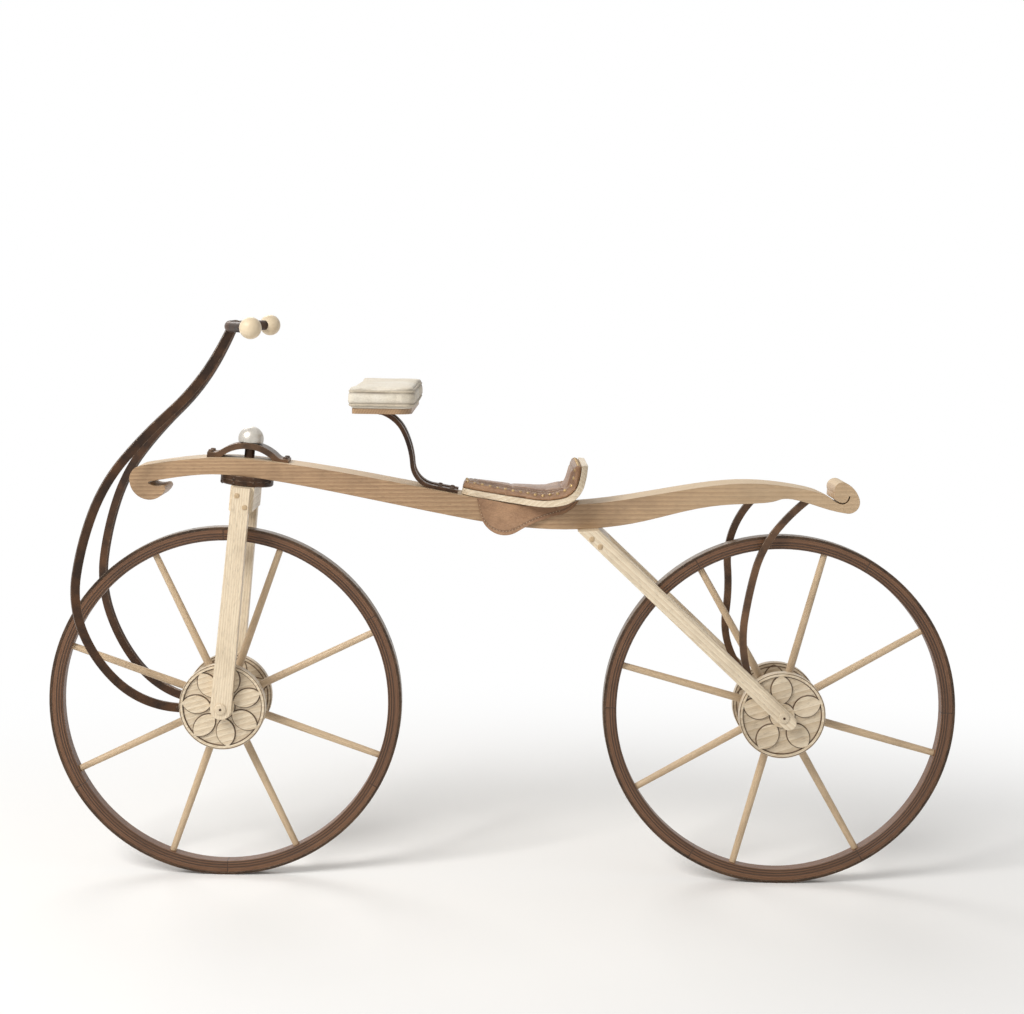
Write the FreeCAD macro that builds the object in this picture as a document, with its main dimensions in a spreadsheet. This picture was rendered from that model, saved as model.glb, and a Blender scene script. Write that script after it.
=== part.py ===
# Dandy horse, a two-wheeled running machine of about 1819, in millimetres.
# The origin is on the saddle top where the rider sits. The machine faces -X and +Z is up.
import FreeCAD, Part
import math
import os

os.makedirs("parts", exist_ok=True)
V = FreeCAD.Vector
doc = FreeCAD.newDocument("dandy_horse")

# Driving sizes, each written once
SIZES = {
    "saddle_over_wheels": 83,      # wheel tops to the rider's seat
    "wheel_radius": 350,
    "wheelbase": 1100,
    "saddle_to_rear_axle": 496,    # along the machine
    "rake_angle": 5,               # steering axis, leaning back at its top, in degrees
    "tyre_width": 30,
    "tyre_thickness": 5,
    "tyre_bevel": 1,
    "felloe_width": 28,
    "felloe_depth": 22,
    "felloe_bevel": 1.5,
    "spoke_count": 8,
    "spoke_radius": 6.5,
    "spoke_swell": 1.2,
    "front_spoke_angle": 26,
    "rear_spoke_angle": 30,
    "nave_length": 72,
    "nave_radius": 34,
    "nave_end_radius": 26,
    "nave_lip": 3,                 # wood left outside each band
    "band_width": 8,
    "band_thickness": 2,
    "axle_radius": 8,
    "axle_head": 3,
    "fit_gap": 0.1,                # radial, at pins and axles
    "slide_gap": 0.3,              # between faces that turn on each other
    "spin_clearance": 5,           # nave end to the fixed boss plate
    "plate_radius": 85,
    "plate_thickness": 12,
    "plate_ring_width": 7,
    "edge_chamfer": 2,             # axle ends, crown and plates
    "relief_height": 4,
    "boss_radius": 24,
    "boss_height": 5,
    "front_petal_width": 35,
    "rear_petal_width": 40,
    "front_petal_count": 7,
    "rear_petal_count": 5,
    "front_petal_angle": 21,
    "rear_petal_angle": 21,
    "leg_thickness": 20,
    "leg_top_width": 34,
    "leg_foot_width": 41,
    "crown_depth": 46,
    "crown_height": 55,
    "crown_chamfer": 8,
    "turntable_radius": 52,
    "lower_plate_thickness": 10,
    "upper_plate_thickness": 9,
    "spindle_radius": 10,
    "knob_radius": 25,
    "bridge_half_span": 80,
    "bridge_foot": 13,             # flat length of each end
    "bridge_rise": 25,
    "bridge_sink": 7,              # its ends are let into the perch
    "bridge_thickness": 12,
    "bridge_width": 50,
    "perch_width": 84,
    "perch_depth": 46,
    "perch_head_rise": 82,         # above the perch's top under the saddle
    "perch_tail_rise": 46.5,
    "perch_nose_reach": 152,       # ahead of the front axle
    "perch_tail_reach": 67,        # behind the rear axle, to where the volute starts
    "scroll_size": 67,
    "volute_size": 60,
    "slit_width": 3,
    "arm_width": 17,
    "arm_thickness": 8,
    "arm_reach": 200,
    "arm_dip": 5,                  # the arms' feet, below the front axle
    "arm_toe_angle": 22,           # each arm's plane, turned out at the front, in degrees
    "handle_height": 313,          # above the saddle top
    "handle_radius": 10,
    "handle_straight": 40,
    "handle_bend_radius": 60,
    "handle_sweep_angle": 32,
    "handle_end_length": 85,
    "handle_knob_radius": 21,
    "strut_width": 30,
    "strut_thickness": 20,
    "strut_overrun": 28,           # past the axle, to its rounded end
    "strut_bevel": 5,              # along its upper outer edge
    "strut_top_place": 108,        # behind the origin, at the perch's underside
    "bolster_height": 48,
    "stay_width": 14,
    "stay_thickness": 8,
    "stay_plate_angle": 136,       # where the stay meets its plate, in degrees
    "left_stay_head": 534,         # behind the origin, at the perch's underside
    "right_stay_head": 438,
    "left_stay_bow": 20,           # forward of its foot
    "right_stay_bow": 43,
    "stay_lean_angle": 3.3,
    "tree_thickness": 12,
    "seat_thickness": 14,
    "seat_inset": 4,
    "saddle_length": 250,
    "saddle_half_width": 92,
    "cantle_rise": 56,             # above the saddle top
    "flap_thickness": 4,
    "flap_depth": 52,
    "rest_front": 354,             # arm rest, ahead of the origin
    "rest_length": 128,
    "rest_width": 360,
    "rest_height": 156,            # underside, above the saddle top
    "rest_board_thickness": 10,
    "rest_pad_thickness": 38,
    "rest_inset": 8,
    "rest_corner": 30,
    "rest_stay_thickness": 8,
    "rest_stay_width": 18,
    "rest_stay_spacing": 44,
    "rest_foot_gap": 8,            # between the saddle and the stays' feet
    "rest_foot_length": 50,
    "rest_front_corner": 8,
}

sheet = doc.addObject("Spreadsheet::Sheet", "sizes")
for row, (name, amount) in enumerate(SIZES.items(), start=1):
    sheet.set(f"A{row}", name)
    sheet.set(f"B{row}", str(amount))
    sheet.setAlias(f"B{row}", name)
doc.recompute()


def size(name):
    """A driving size, read back from the sheet."""
    return float(sheet.get(name))


# A piece that is cut to its neighbour's face is first made this much too long
OVERRUN = 5

# Places worked out from the driving sizes
REAR_X = size("saddle_to_rear_axle")
FRONT_X = REAR_X - size("wheelbase")
AXLE_Z = -size("saddle_over_wheels") - size("wheel_radius")
RAKE = math.radians(size("rake_angle"))
RAKED = FreeCAD.Rotation(V(0, 1, 0), size("rake_angle"))
LEVEL = FreeCAD.Rotation()
PLATE_INNER = size("nave_length") / 2 + size("spin_clearance")
PLATE_MIDDLE = PLATE_INNER + size("plate_thickness") / 2
LEG_INNER = PLATE_INNER + size("plate_thickness") + size("boss_height")
LEG_OUTER = LEG_INNER + size("leg_thickness")
STRUT_OUTER = LEG_INNER + size("strut_thickness")
FELLOE_OUTER = size("wheel_radius") - size("tyre_thickness")
FELLOE_INNER = FELLOE_OUTER - size("felloe_depth")
SEAT_BED = -size("tree_thickness") - size("seat_thickness")
HANDED = {"left": -1, "right": 1}
sub_parts = []


def heading(degrees):
    """The unit vector in a sketch plane at an angle from its first axis."""
    angle = math.radians(degrees)
    return V(math.cos(angle), math.sin(angle), 0)


def polygon(points):
    """Straight edges round a closed outline."""
    corners = [V(along, up, 0) for along, up in points]
    return [Part.LineSegment(a, b) for a, b in zip(corners, corners[1:] + corners[:1])]


def tangent_arcs(start, degrees, points, offset=0):
    """Edges through the points, each tangent to the one before, moved to the left by offset."""
    edges = []
    here = V(start[0], start[1], 0)
    angle = degrees
    for along, up in points:
        there = V(along, up, 0)
        chord = there - here
        chord_angle = math.degrees(math.atan2(chord.y, chord.x))
        turn = 2 * ((chord_angle - angle + 180) % 360 - 180)
        left_here = heading(angle + 90)
        left_there = heading(angle + turn + 90)
        first = here + left_here * offset
        last = there + left_there * offset
        if abs(turn) < 0.05:
            edges.append(Part.LineSegment(first, last))
        else:
            radius = chord.Length / (2 * math.sin(math.radians(turn / 2)))
            middle = here + left_here * radius - heading(chord_angle + 90) * (radius - offset)
            edges.append(Part.Arc(first, middle, last))
        here = there
        angle += turn
    return edges


def band(start, degrees, points, low, high):
    """A closed outline between two offsets of one run of tangent arcs."""
    lower = tangent_arcs(start, degrees, points, low)
    upper = tangent_arcs(start, degrees, points, high)
    ends = [
        Part.LineSegment(lower[-1].EndPoint, upper[-1].EndPoint),
        Part.LineSegment(upper[0].StartPoint, lower[0].StartPoint),
    ]
    return lower + upper + ends


def origin_plane(body, role):
    """One of a body's own origin planes."""
    return next(item for item in body.Origin.OriginFeatures if item.Role == role)


def add_sketch(body, name, role, geometry, lift=0):
    """A sketch on a body's origin plane, lifted along the plane's normal."""
    sketch = body.newObject("Sketcher::SketchObject", name)
    sketch.AttachmentSupport = [(origin_plane(body, role), "")]
    sketch.MapMode = "FlatFace"
    sketch.AttachmentOffset = FreeCAD.Placement(V(0, 0, lift), LEVEL)
    for edge in geometry:
        sketch.addGeometry(edge, False)
    return sketch


def padded(name, role, geometry, length, lift=0, midplane=True, reverse=False):
    """A body whose one sketch is padded by a length given as an expression."""
    body = doc.addObject("PartDesign::Body", name)
    sketch = add_sketch(body, name + "_sketch", role, geometry, lift)
    pad = body.newObject("PartDesign::Pad", name + "_pad")
    pad.Profile = sketch
    pad.Midplane = midplane
    pad.Reversed = reverse
    pad.setExpression("Length", length)
    return body


def turned(name, role, geometry):
    """A body whose one sketch is revolved about the sketch's upright axis."""
    body = doc.addObject("PartDesign::Body", name)
    sketch = add_sketch(body, name + "_sketch", role, geometry)
    revolution = body.newObject("PartDesign::Revolution", name + "_turning")
    revolution.Profile = sketch
    revolution.ReferenceAxis = (sketch, ["V_Axis"])
    revolution.Angle = 360
    return body


def place(item, x=0, y=0, z=0, rotation=LEVEL):
    """Put an object at its place in the machine."""
    item.Placement = FreeCAD.Placement(V(x, y, z), rotation)
    return item


def trimmed(name, base, tools):
    """A piece with each tool cut away in turn."""
    for count, tool in enumerate(tools, start=1):
        result = doc.addObject("Part::Cut", f"{name}_trim_{count}")
        result.Base = base
        result.Tool = tool
        base = result
    return base


def keep(item, label):
    """Give a finished sub-part its label and list it for export."""
    item.Label = label
    sub_parts.append(item)
    return item


def along_axis(height):
    """A point on the raked steering axis, at a height measured along it from the front axle."""
    return V(FRONT_X + height * math.sin(RAKE), 0, AXLE_Z + height * math.cos(RAKE))


# Perch: a long sawn and steamed timber with a scroll at its nose and a volute at its tail
SADDLE_STATION_SHARE = 0.036       # of the tail's reach
SADDLE_STATION_DROP = 1            # below the saddle's bed


def perch_stations():
    """Places along the perch, with its top and its depth there, from nose to tail."""
    head = size("perch_head_rise")
    tail = size("perch_tail_rise")
    depth = size("perch_depth")
    nose_x = FRONT_X - size("perch_nose_reach")
    tail_x = REAR_X + size("perch_tail_reach")
    front_shape = [(0, 0.80, 0.67), (0.16, 1.0, 0.70), (0.32, 0.93, 0.78),
                   (0.54, 0.65, 0.91), (0.744, 0.32, 0.96)]
    rear_shape = [(0.37, 0.38, 1.06), (0.66, 0.97, 0.87), (0.835, 1.0, 0.72), (1.0, 0.66, 0.59)]
    stations = []
    for share, rise, thickness in front_shape:
        stations.append((nose_x * (1 - share), SEAT_BED + head * rise, depth * thickness))
    stations.append((SADDLE_STATION_SHARE * tail_x, SEAT_BED - SADDLE_STATION_DROP, depth))
    for share, rise, thickness in rear_shape:
        stations.append((tail_x * share, SEAT_BED + tail * rise, depth * thickness))
    return stations


def smooth(points, first_degrees, last_degrees):
    """One smooth curve through the points, with the headings of its ends."""
    curve = Part.BSplineCurve()
    curve.interpolate(
        Points=[V(along, up, 0) for along, up in points],
        InitialTangent=heading(first_degrees),
        FinalTangent=heading(last_degrees),
        Scale=True,
    )
    return curve


# The scroll's and the volute's points below are written for these sizes
SCROLL_DRAWN = 67
VOLUTE_DRAWN = 73
TOP_HEADINGS = (10, -24)
UNDER_HEADINGS = (10, -18)


def at_nose(along, up):
    """A place on the scroll, from the top of the nose."""
    scroll = size("scroll_size") / SCROLL_DRAWN
    x, top, _ = perch_stations()[0]
    return (x + along * scroll, top + up * scroll)


def at_tail(along, up):
    """A place on the volute, from the underside of the tail."""
    volute = size("volute_size") / VOLUTE_DRAWN
    x, top, depth = perch_stations()[-1]
    return (x + along * volute, top - depth + up * volute)


def perch_outline():
    """Side outline: top curve, nose scroll, under curve and tail volute."""
    stations = perch_stations()
    nose_start = at_nose(-11.5, -0.7)
    slit_end = at_nose(5, -31.6)
    volute_mouth = at_tail(31, 19)
    top_points = [nose_start] + [(x, top) for x, top, _ in stations[1:]] + [volute_mouth]
    under_points = [slit_end] + [(x, top - depth) for x, top, depth in stations[1:]]
    top = smooth(top_points, *TOP_HEADINGS)
    under = smooth(under_points, *UNDER_HEADINGS)
    nose = tangent_arcs(nose_start, 190, [
        at_nose(-34, -27.5), at_nose(4, -67.5), at_nose(36, -48.5),
        at_nose(28, -39.5), at_nose(4, -36), slit_end])
    tail = tangent_arcs(under_points[-1], UNDER_HEADINGS[1], [
        at_tail(62, -14), at_tail(91.4, 20), at_tail(59, 58.8), at_tail(31.7, 34)])
    mouth = Part.LineSegment(tail[-1].EndPoint, V(*volute_mouth, 0))
    return [top, under, mouth] + nose + tail


def perch_slit():
    """The narrow slit that lets the tail curl in on itself."""
    half = size("slit_width") / 2
    points = [at_tail(47, 10), at_tail(64, 17), at_tail(68, 27)]
    return band(at_tail(24, 25), -52, points, -half, half)


def perch_level(x, side):
    """Height of the perch's top or underside at a place along the machine."""
    stations = perch_stations()
    drop = 0 if side == "top" else 1
    places = [(place_x, top - depth * drop) for place_x, top, depth in stations]
    curve = smooth(places, *UNDER_HEADINGS)
    reach = size("wheelbase")
    upright = Part.LineSegment(V(x, -reach, 0), V(x, reach, 0))
    return curve.intersect(upright)[0].Y


def steering_height(side):
    """Height along the steering axis, from the axle, of the perch's top or underside."""
    level = perch_level(FRONT_X - AXLE_Z * math.tan(RAKE), side)
    return (level - AXLE_Z) / math.cos(RAKE)


HEAD_UNDER = steering_height("under")
HEAD_TOP = steering_height("top")
SLIDE_HEIGHT = HEAD_UNDER - size("upper_plate_thickness")
LEG_TOP = SLIDE_HEIGHT - size("lower_plate_thickness")


def make_perch():
    """The perch, with the spindle's bore and the tail's slit."""
    body = padded("perch_body", "XZ_Plane", perch_outline(), "sizes.perch_width")
    slit = add_sketch(body, "perch_slit_sketch", "XZ_Plane", perch_slit())
    pocket = body.newObject("PartDesign::Pocket", "perch_slit")
    pocket.Profile = slit
    pocket.Type = 1
    pocket.Midplane = True
    keep(trimmed("perch", body, [spindle_bore]), "perch_beam")


def make_tools():
    """Cutting shapes: the spindle's bore, and a wide block of the perch's outline."""
    bore = doc.addObject("Part::Cylinder", "spindle_bore_tool")
    bore.setExpression("Radius", "sizes.spindle_radius + sizes.fit_gap")
    low = LEG_TOP - size("crown_height") - OVERRUN
    bore.Height = HEAD_TOP + size("bridge_rise") + size("knob_radius") * 2 - low
    place(bore, *along_axis(low), RAKED)
    block = padded("perch_block", "XZ_Plane", perch_outline(), "2 * sizes.saddle_half_width")
    return bore, block


spindle_bore, perch_block = make_tools()


# Wheels: an iron tyre shrunk on a wooden felloe, turned spokes and a turned, banded nave
def wheel_ring(name, label, x, edge, far_edge, width, bevel):
    """A ring about the wheel's axle, with the corners of its second edge bevelled."""
    half = width / 2
    short = far_edge - math.copysign(bevel, far_edge - edge)
    profile = polygon([(edge, -half), (short, -half), (far_edge, -half + bevel),
                       (far_edge, half - bevel), (short, half), (edge, half)])
    keep(place(turned(name, "XY_Plane", profile), x, 0, AXLE_Z), label)


SPOKE_SWELL_SHARE = 0.3


def make_spokes(end, x, first_angle):
    """Turned spokes, seated on the nave's belt and against the felloe."""
    thin = size("spoke_radius")
    thick = thin + size("spoke_swell")
    low = size("nave_radius") - OVERRUN
    high = FELLOE_INNER + OVERRUN
    body = doc.addObject("PartDesign::Body", f"{end}_spoke_body")
    swell = low + (high - low) * SPOKE_SWELL_SHARE
    profile = polygon([(0, low), (thick, low), (thick, swell), (thin, high), (0, high)])
    sketch = add_sketch(body, f"{end}_spoke_sketch", "XZ_Plane", profile)
    spoke = body.newObject("PartDesign::Revolution", f"{end}_spoke")
    spoke.Profile = sketch
    spoke.ReferenceAxis = (sketch, ["V_Axis"])
    spoke.Angle = 360
    doc.recompute()
    pattern = body.newObject("PartDesign::PolarPattern", f"{end}_spoke_pattern")
    pattern.Originals = [spoke]
    pattern.Axis = (sketch, ["N_Axis"])
    pattern.Angle = 360
    pattern.setExpression("Occurrences", "sizes.spoke_count")
    body.Tip = pattern
    place(body, x, 0, AXLE_Z, FreeCAD.Rotation(V(0, -1, 0), first_angle - 90))
    flat = FreeCAD.Rotation(V(1, 0, 0), 90)
    core = doc.addObject("Part::Cylinder", f"{end}_nave_core")
    core.setExpression("Radius", "sizes.nave_radius")
    rim = doc.addObject("Part::Cylinder", f"{end}_felloe_core")
    rim.Radius = FELLOE_INNER
    for cylinder in (core, rim):
        cylinder.setExpression("Height", "sizes.nave_length")
        place(cylinder, x, size("nave_length") / 2, AXLE_Z, flat)
    inner = trimmed(f"{end}_spokes", body, [core])
    spokes = doc.addObject("Part::Common", f"{end}_spokes_seated")
    spokes.Base = inner
    spokes.Tool = rim
    keep(spokes, f"{end}_spokes")


def make_nave(end, x):
    """A turned nave with a belt for the spokes and an iron band near each end."""
    half = size("nave_length") / 2
    belt = size("nave_radius")
    tip = size("nave_end_radius")
    bore = size("axle_radius") + size("fit_gap")
    thickness = size("band_thickness")
    seat = tip + thickness
    outside = half - size("nave_lip")
    inside = outside - size("band_width")
    belt_half = size("spoke_radius") + size("spoke_swell") + size("nave_lip")
    profile = polygon([
        (bore, -half), (tip, -half), (tip, -outside), (seat, -outside), (seat, -inside),
        (belt, -belt_half), (belt, belt_half), (seat, inside), (seat, outside), (tip, outside),
        (tip, half), (bore, half)])
    keep(place(turned(f"{end}_nave_body", "XY_Plane", profile), x, 0, AXLE_Z), f"{end}_nave")
    hoop = doc.addObject("PartDesign::Body", f"{end}_band_body")
    ring = polygon([(seat, inside), (seat + thickness, inside), (seat + thickness, outside),
                    (seat, outside)])
    sketch = add_sketch(hoop, f"{end}_band_sketch", "XY_Plane", ring)
    revolution = hoop.newObject("PartDesign::Revolution", f"{end}_band")
    revolution.Profile = sketch
    revolution.ReferenceAxis = (sketch, ["V_Axis"])
    revolution.Angle = 360
    doc.recompute()
    pair = hoop.newObject("PartDesign::Mirrored", f"{end}_band_pair")
    pair.Originals = [revolution]
    pair.MirrorPlane = (origin_plane(hoop, "XZ_Plane"), [""])
    hoop.Tip = pair
    keep(place(hoop, x, 0, AXLE_Z), f"{end}_nave_bands")


def make_wheel(end, x, first_angle):
    """One wheel with all its pieces."""
    wheel_ring(f"{end}_tyre_body", f"{end}_tyre", x, FELLOE_OUTER, size("wheel_radius"),
               size("tyre_width"), size("tyre_bevel"))
    wheel_ring(f"{end}_felloe_body", f"{end}_felloe", x, FELLOE_OUTER, FELLOE_INNER,
               size("felloe_width"), size("felloe_bevel"))
    make_spokes(end, x, first_angle)
    make_nave(end, x)


# Boss plates: fixed round plates on the axles, each with a raised ring and carved petals
PETAL_ROOT = 1                     # how far a petal runs into what it grows from


def petal(width, inner, outer):
    """A pointed petal between two arcs, along the sketch's first axis."""
    middle = (inner + outer) / 2
    upper = Part.Arc(V(inner, 0, 0), V(middle, width / 2, 0), V(outer, 0, 0))
    lower = Part.Arc(V(outer, 0, 0), V(middle, -width / 2, 0), V(inner, 0, 0))
    return [upper, lower]


def make_boss_plate(end, hand, x, first_angle):
    """One boss plate, its face turned away from the wheel."""
    side = HANDED[hand]
    radius = size("plate_radius")
    thickness = size("plate_thickness")
    relief = thickness + size("relief_height")
    boss = thickness + size("boss_height")
    ring = radius - size("plate_ring_width")
    bore = size("axle_radius") + size("fit_gap")
    chamfer = size("edge_chamfer") / 2
    profile = polygon([
        (bore, 0), (radius, 0), (radius, relief - chamfer), (radius - chamfer, relief),
        (ring, relief), (ring, thickness), (size("boss_radius"), thickness),
        (size("boss_radius"), boss), (bore, boss)])
    name = f"{end}_plate_{hand}"
    body = turned(f"{name}_body", "XY_Plane", profile)
    outline = petal(size(f"{end}_petal_width"), size("boss_radius") - PETAL_ROOT, ring + PETAL_ROOT)
    sketch = add_sketch(body, f"{name}_petal_sketch", "XZ_Plane", outline, PETAL_ROOT - thickness)
    carved = body.newObject("PartDesign::Pad", f"{name}_petal")
    carved.Profile = sketch
    carved.Reversed = True
    carved.setExpression("Length", f"sizes.relief_height + {PETAL_ROOT}")
    doc.recompute()
    pattern = body.newObject("PartDesign::PolarPattern", f"{name}_petals")
    pattern.Originals = [carved]
    pattern.Axis = (sketch, ["N_Axis"])
    pattern.Angle = 360
    pattern.setExpression("Occurrences", f"sizes.{end}_petal_count")
    body.Tip = pattern
    turn = FreeCAD.Rotation(V(0, -1, 0), first_angle)
    if side < 0:
        faced_left = FreeCAD.Rotation(V(0, 0, 1), 180)
        turn = FreeCAD.Rotation(V(0, -1, 0), first_angle + 180).multiply(faced_left)
    return keep(place(body, x, side * PLATE_INNER, AXLE_Z, turn), f"{end}_boss_plate_{hand}")


def make_axle(end, x, outer):
    """An iron axle with a low head at each end."""
    half = outer + size("axle_head")
    radius = size("axle_radius")
    chamfer = size("edge_chamfer")
    profile = polygon([(0, -half), (radius - chamfer, -half), (radius, -half + chamfer),
                       (radius, half - chamfer), (radius - chamfer, half), (0, half)])
    keep(place(turned(f"{end}_axle_body", "XY_Plane", profile), x, 0, AXLE_Z), f"{end}_axle")


# Front fork: two planks and a crown between them, under a pair of turning plates
def make_fork_leg(hand):
    """A plank that widens to a rounded foot about the axle."""
    foot = size("leg_foot_width") / 2
    top = size("leg_top_width") / 2
    bore = Part.Circle(V(0, 0, 0), V(0, 0, 1), size("axle_radius") + size("fit_gap"))
    outline = [
        Part.Arc(V(-foot, 0, 0), V(0, -foot, 0), V(foot, 0, 0)),
        Part.LineSegment(V(foot, 0, 0), V(top, LEG_TOP, 0)),
        Part.LineSegment(V(top, LEG_TOP, 0), V(-top, LEG_TOP, 0)),
        Part.LineSegment(V(-top, LEG_TOP, 0), V(-foot, 0, 0)),
        bore]
    body = padded(f"leg_{hand}_body", "XZ_Plane", outline, "sizes.leg_thickness")
    y = HANDED[hand] * (LEG_INNER + LEG_OUTER) / 2
    keep(place(body, FRONT_X, y, AXLE_Z, RAKED), f"fork_leg_{hand}")


def make_crown():
    """A block between the legs that carries the spindle."""
    half = size("crown_depth") / 2
    low = LEG_TOP - size("crown_height")
    chamfer = size("crown_chamfer")
    outline = polygon([(-half, low + chamfer), (-half + chamfer, low), (half - chamfer, low),
                       (half, low + chamfer), (half, LEG_TOP), (-half, LEG_TOP)])
    body = padded("crown_body", "XZ_Plane", outline, f"{2 * LEG_INNER}")
    place(body, FRONT_X, 0, AXLE_Z, RAKED)
    keep(trimmed("crown", body, [spindle_bore]), "fork_crown")


def make_turning_plates():
    """The fork's plate and the perch's plate above it, which turn face to face."""
    radius = size("turntable_radius")
    gap = size("slide_gap")
    chamfer = size("edge_chamfer")
    lower = turned("lower_plate_body", "XZ_Plane", polygon([
        (0, LEG_TOP), (radius - chamfer, LEG_TOP), (radius, LEG_TOP + chamfer),
        (radius, SLIDE_HEIGHT), (0, SLIDE_HEIGHT)]))
    place(lower, FRONT_X, 0, AXLE_Z, RAKED)
    keep(trimmed("lower_plate", lower, [spindle_bore]), "lower_turning_plate")
    above = (HEAD_UNDER + HEAD_TOP) / 2
    upper = turned("upper_plate_body", "XZ_Plane", polygon([
        (0, SLIDE_HEIGHT + gap), (radius, SLIDE_HEIGHT + gap), (radius, above), (0, above)]))
    place(upper, FRONT_X, 0, AXLE_Z, RAKED)
    keep(trimmed("upper_plate", upper, [perch_block, spindle_bore]), "upper_turning_plate")


BRIDGE_BASE = HEAD_TOP - size("bridge_sink") + size("bridge_thickness") / 2
BRIDGE_TOP = BRIDGE_BASE + size("bridge_rise") + size("bridge_thickness") / 2


def make_bridge():
    """An arched iron strap on the perch that steadies the spindle's head."""
    span = size("bridge_half_span")
    half = size("bridge_thickness") / 2
    spring = span - size("bridge_foot")
    knee = spring - size("bridge_foot")
    knee_rise = size("bridge_foot") * size("bridge_rise") / spring
    rise = BRIDGE_BASE + size("bridge_rise")
    points = [(-spring, BRIDGE_BASE), (-knee, BRIDGE_BASE + knee_rise), (0, rise),
              (knee, BRIDGE_BASE + knee_rise), (spring, BRIDGE_BASE), (span, BRIDGE_BASE)]
    outline = band((-span, BRIDGE_BASE), 0, points, -half, half)
    body = padded("bridge_body", "XZ_Plane", outline, "sizes.bridge_width")
    place(body, FRONT_X, 0, AXLE_Z, RAKED)
    keep(trimmed("bridge", body, [perch_block, spindle_bore]), "spindle_bridge")


BALL_CENTRE_SHARE = 0.24           # of the ball's radius, above its flat seat
SPINDLE_DEPTH_SHARE = 0.6


def make_spindle():
    """The iron spindle and the ball nut that holds it down on the bridge."""
    radius = size("spindle_radius")
    low = LEG_TOP - size("crown_height")
    ball = size("knob_radius")
    seat = BRIDGE_TOP + size("slide_gap")
    end = seat + ball * SPINDLE_DEPTH_SHARE
    spindle = turned("spindle_body", "XZ_Plane", polygon([
        (0, low), (radius, low), (radius, end), (0, end)]))
    keep(place(spindle, FRONT_X, 0, AXLE_Z, RAKED), "spindle")
    centre = seat + ball * BALL_CENTRE_SHARE
    flat = math.sqrt(ball ** 2 - (centre - seat) ** 2)
    bore = radius + size("fit_gap")
    depth = end + size("fit_gap")
    profile = [
        Part.LineSegment(V(bore, seat, 0), V(flat, seat, 0)),
        Part.Arc(V(flat, seat, 0), V(0, centre, 0) + heading(45) * ball, V(0, centre + ball, 0)),
        Part.LineSegment(V(0, centre + ball, 0), V(0, depth, 0)),
        Part.LineSegment(V(0, depth, 0), V(bore, depth, 0)),
        Part.LineSegment(V(bore, depth, 0), V(bore, seat, 0))]
    knob = turned("spindle_knob_body", "XZ_Plane", profile)
    keep(place(knob, FRONT_X, 0, AXLE_Z, RAKED), "spindle_knob")


# Steering arms: two bent iron straps from the front plates up to the handle
ARM_SHAPE = [(-0.614, 0.082), (-0.930, 0.2115), (-1.0, 0.368), (-0.849, 0.526), (-0.541, 0.667),
             (-0.103, 0.787), (0.354, 0.936), (0.483, 1.0)]
ARM_FIRST_HEADING = 174.3
ARM_TURN = math.radians(size("arm_toe_angle"))
ARM_START_X = FRONT_X - size("plate_radius")
ARM_START_Z = AXLE_Z - size("arm_dip")
ARM_RISE = size("handle_height") - size("handle_radius") - ARM_START_Z


def arm_points():
    """The arm's line in its own plane, from the plate's edge to the handle."""
    reach = size("arm_reach")
    back = heading(ARM_FIRST_HEADING) * -OVERRUN
    return [(back.x, back.y)] + [(along * reach, up * ARM_RISE) for along, up in ARM_SHAPE]


def make_arm(hand, plate, bar):
    """One arm, in an upright plane that is turned out at the front."""
    side = HANDED[hand]
    half = size("arm_width") / 2
    points = arm_points()
    last = points[-1]
    end = (last[0] + OVERRUN, last[1] + size("handle_radius"))
    outline = band(points[0], ARM_FIRST_HEADING, points[1:] + [end], -half, half)
    body = padded(f"arm_{hand}_body", "XZ_Plane", outline, "sizes.arm_thickness")
    toe = FreeCAD.Rotation(V(0, 0, 1), -side * size("arm_toe_angle"))
    place(body, ARM_START_X, side * PLATE_MIDDLE, ARM_START_Z, toe)
    keep(trimmed(f"arm_{hand}", body, [plate, bar]), f"steering_arm_{hand}")


HANDLE_X = ARM_START_X + (ARM_SHAPE[-1][0] * size("arm_reach") + OVERRUN) * math.cos(ARM_TURN)
HANDLE_Z = size("handle_height")


def handle_end():
    """Where a swept end of the handle stops, from the handle's middle."""
    bend = size("handle_bend_radius")
    sweep = math.radians(size("handle_sweep_angle"))
    straight = size("handle_straight")
    run = size("handle_end_length")
    across = straight + bend * math.sin(sweep) + run * math.cos(sweep)
    back = bend * (1 - math.cos(sweep)) + run * math.sin(sweep)
    return back, across


def make_handle():
    """A round iron bar, straight in the middle and swept back at both ends."""
    bend = size("handle_bend_radius")
    sweep = size("handle_sweep_angle")
    straight = size("handle_straight")
    back, across = handle_end()
    turn = math.radians(sweep)
    bend_end = (bend * (1 - math.cos(turn)), straight + bend * math.sin(turn))
    path = [Part.LineSegment(V(0, 0, 0), V(0, straight, 0))]
    path += tangent_arcs((0, straight), 90, [bend_end])
    path.append(Part.LineSegment(V(*bend_end, 0), V(back, across, 0)))
    body = doc.addObject("PartDesign::Body", "handle_body")
    spine = add_sketch(body, "handle_line", "XY_Plane", path)
    circle = [Part.Circle(V(0, 0, 0), V(0, 0, 1), size("handle_radius"))]
    section = add_sketch(body, "handle_section", "XZ_Plane", circle)
    pipe = body.newObject("PartDesign::AdditivePipe", "handle_half")
    pipe.Profile = section
    pipe.Spine = spine
    doc.recompute()
    pair = body.newObject("PartDesign::Mirrored", "handle_pair")
    pair.Originals = [pipe]
    pair.MirrorPlane = (origin_plane(body, "XZ_Plane"), [""])
    body.Tip = pair
    return keep(place(body, HANDLE_X, 0, HANDLE_Z), "handle_crossbar")


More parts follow.
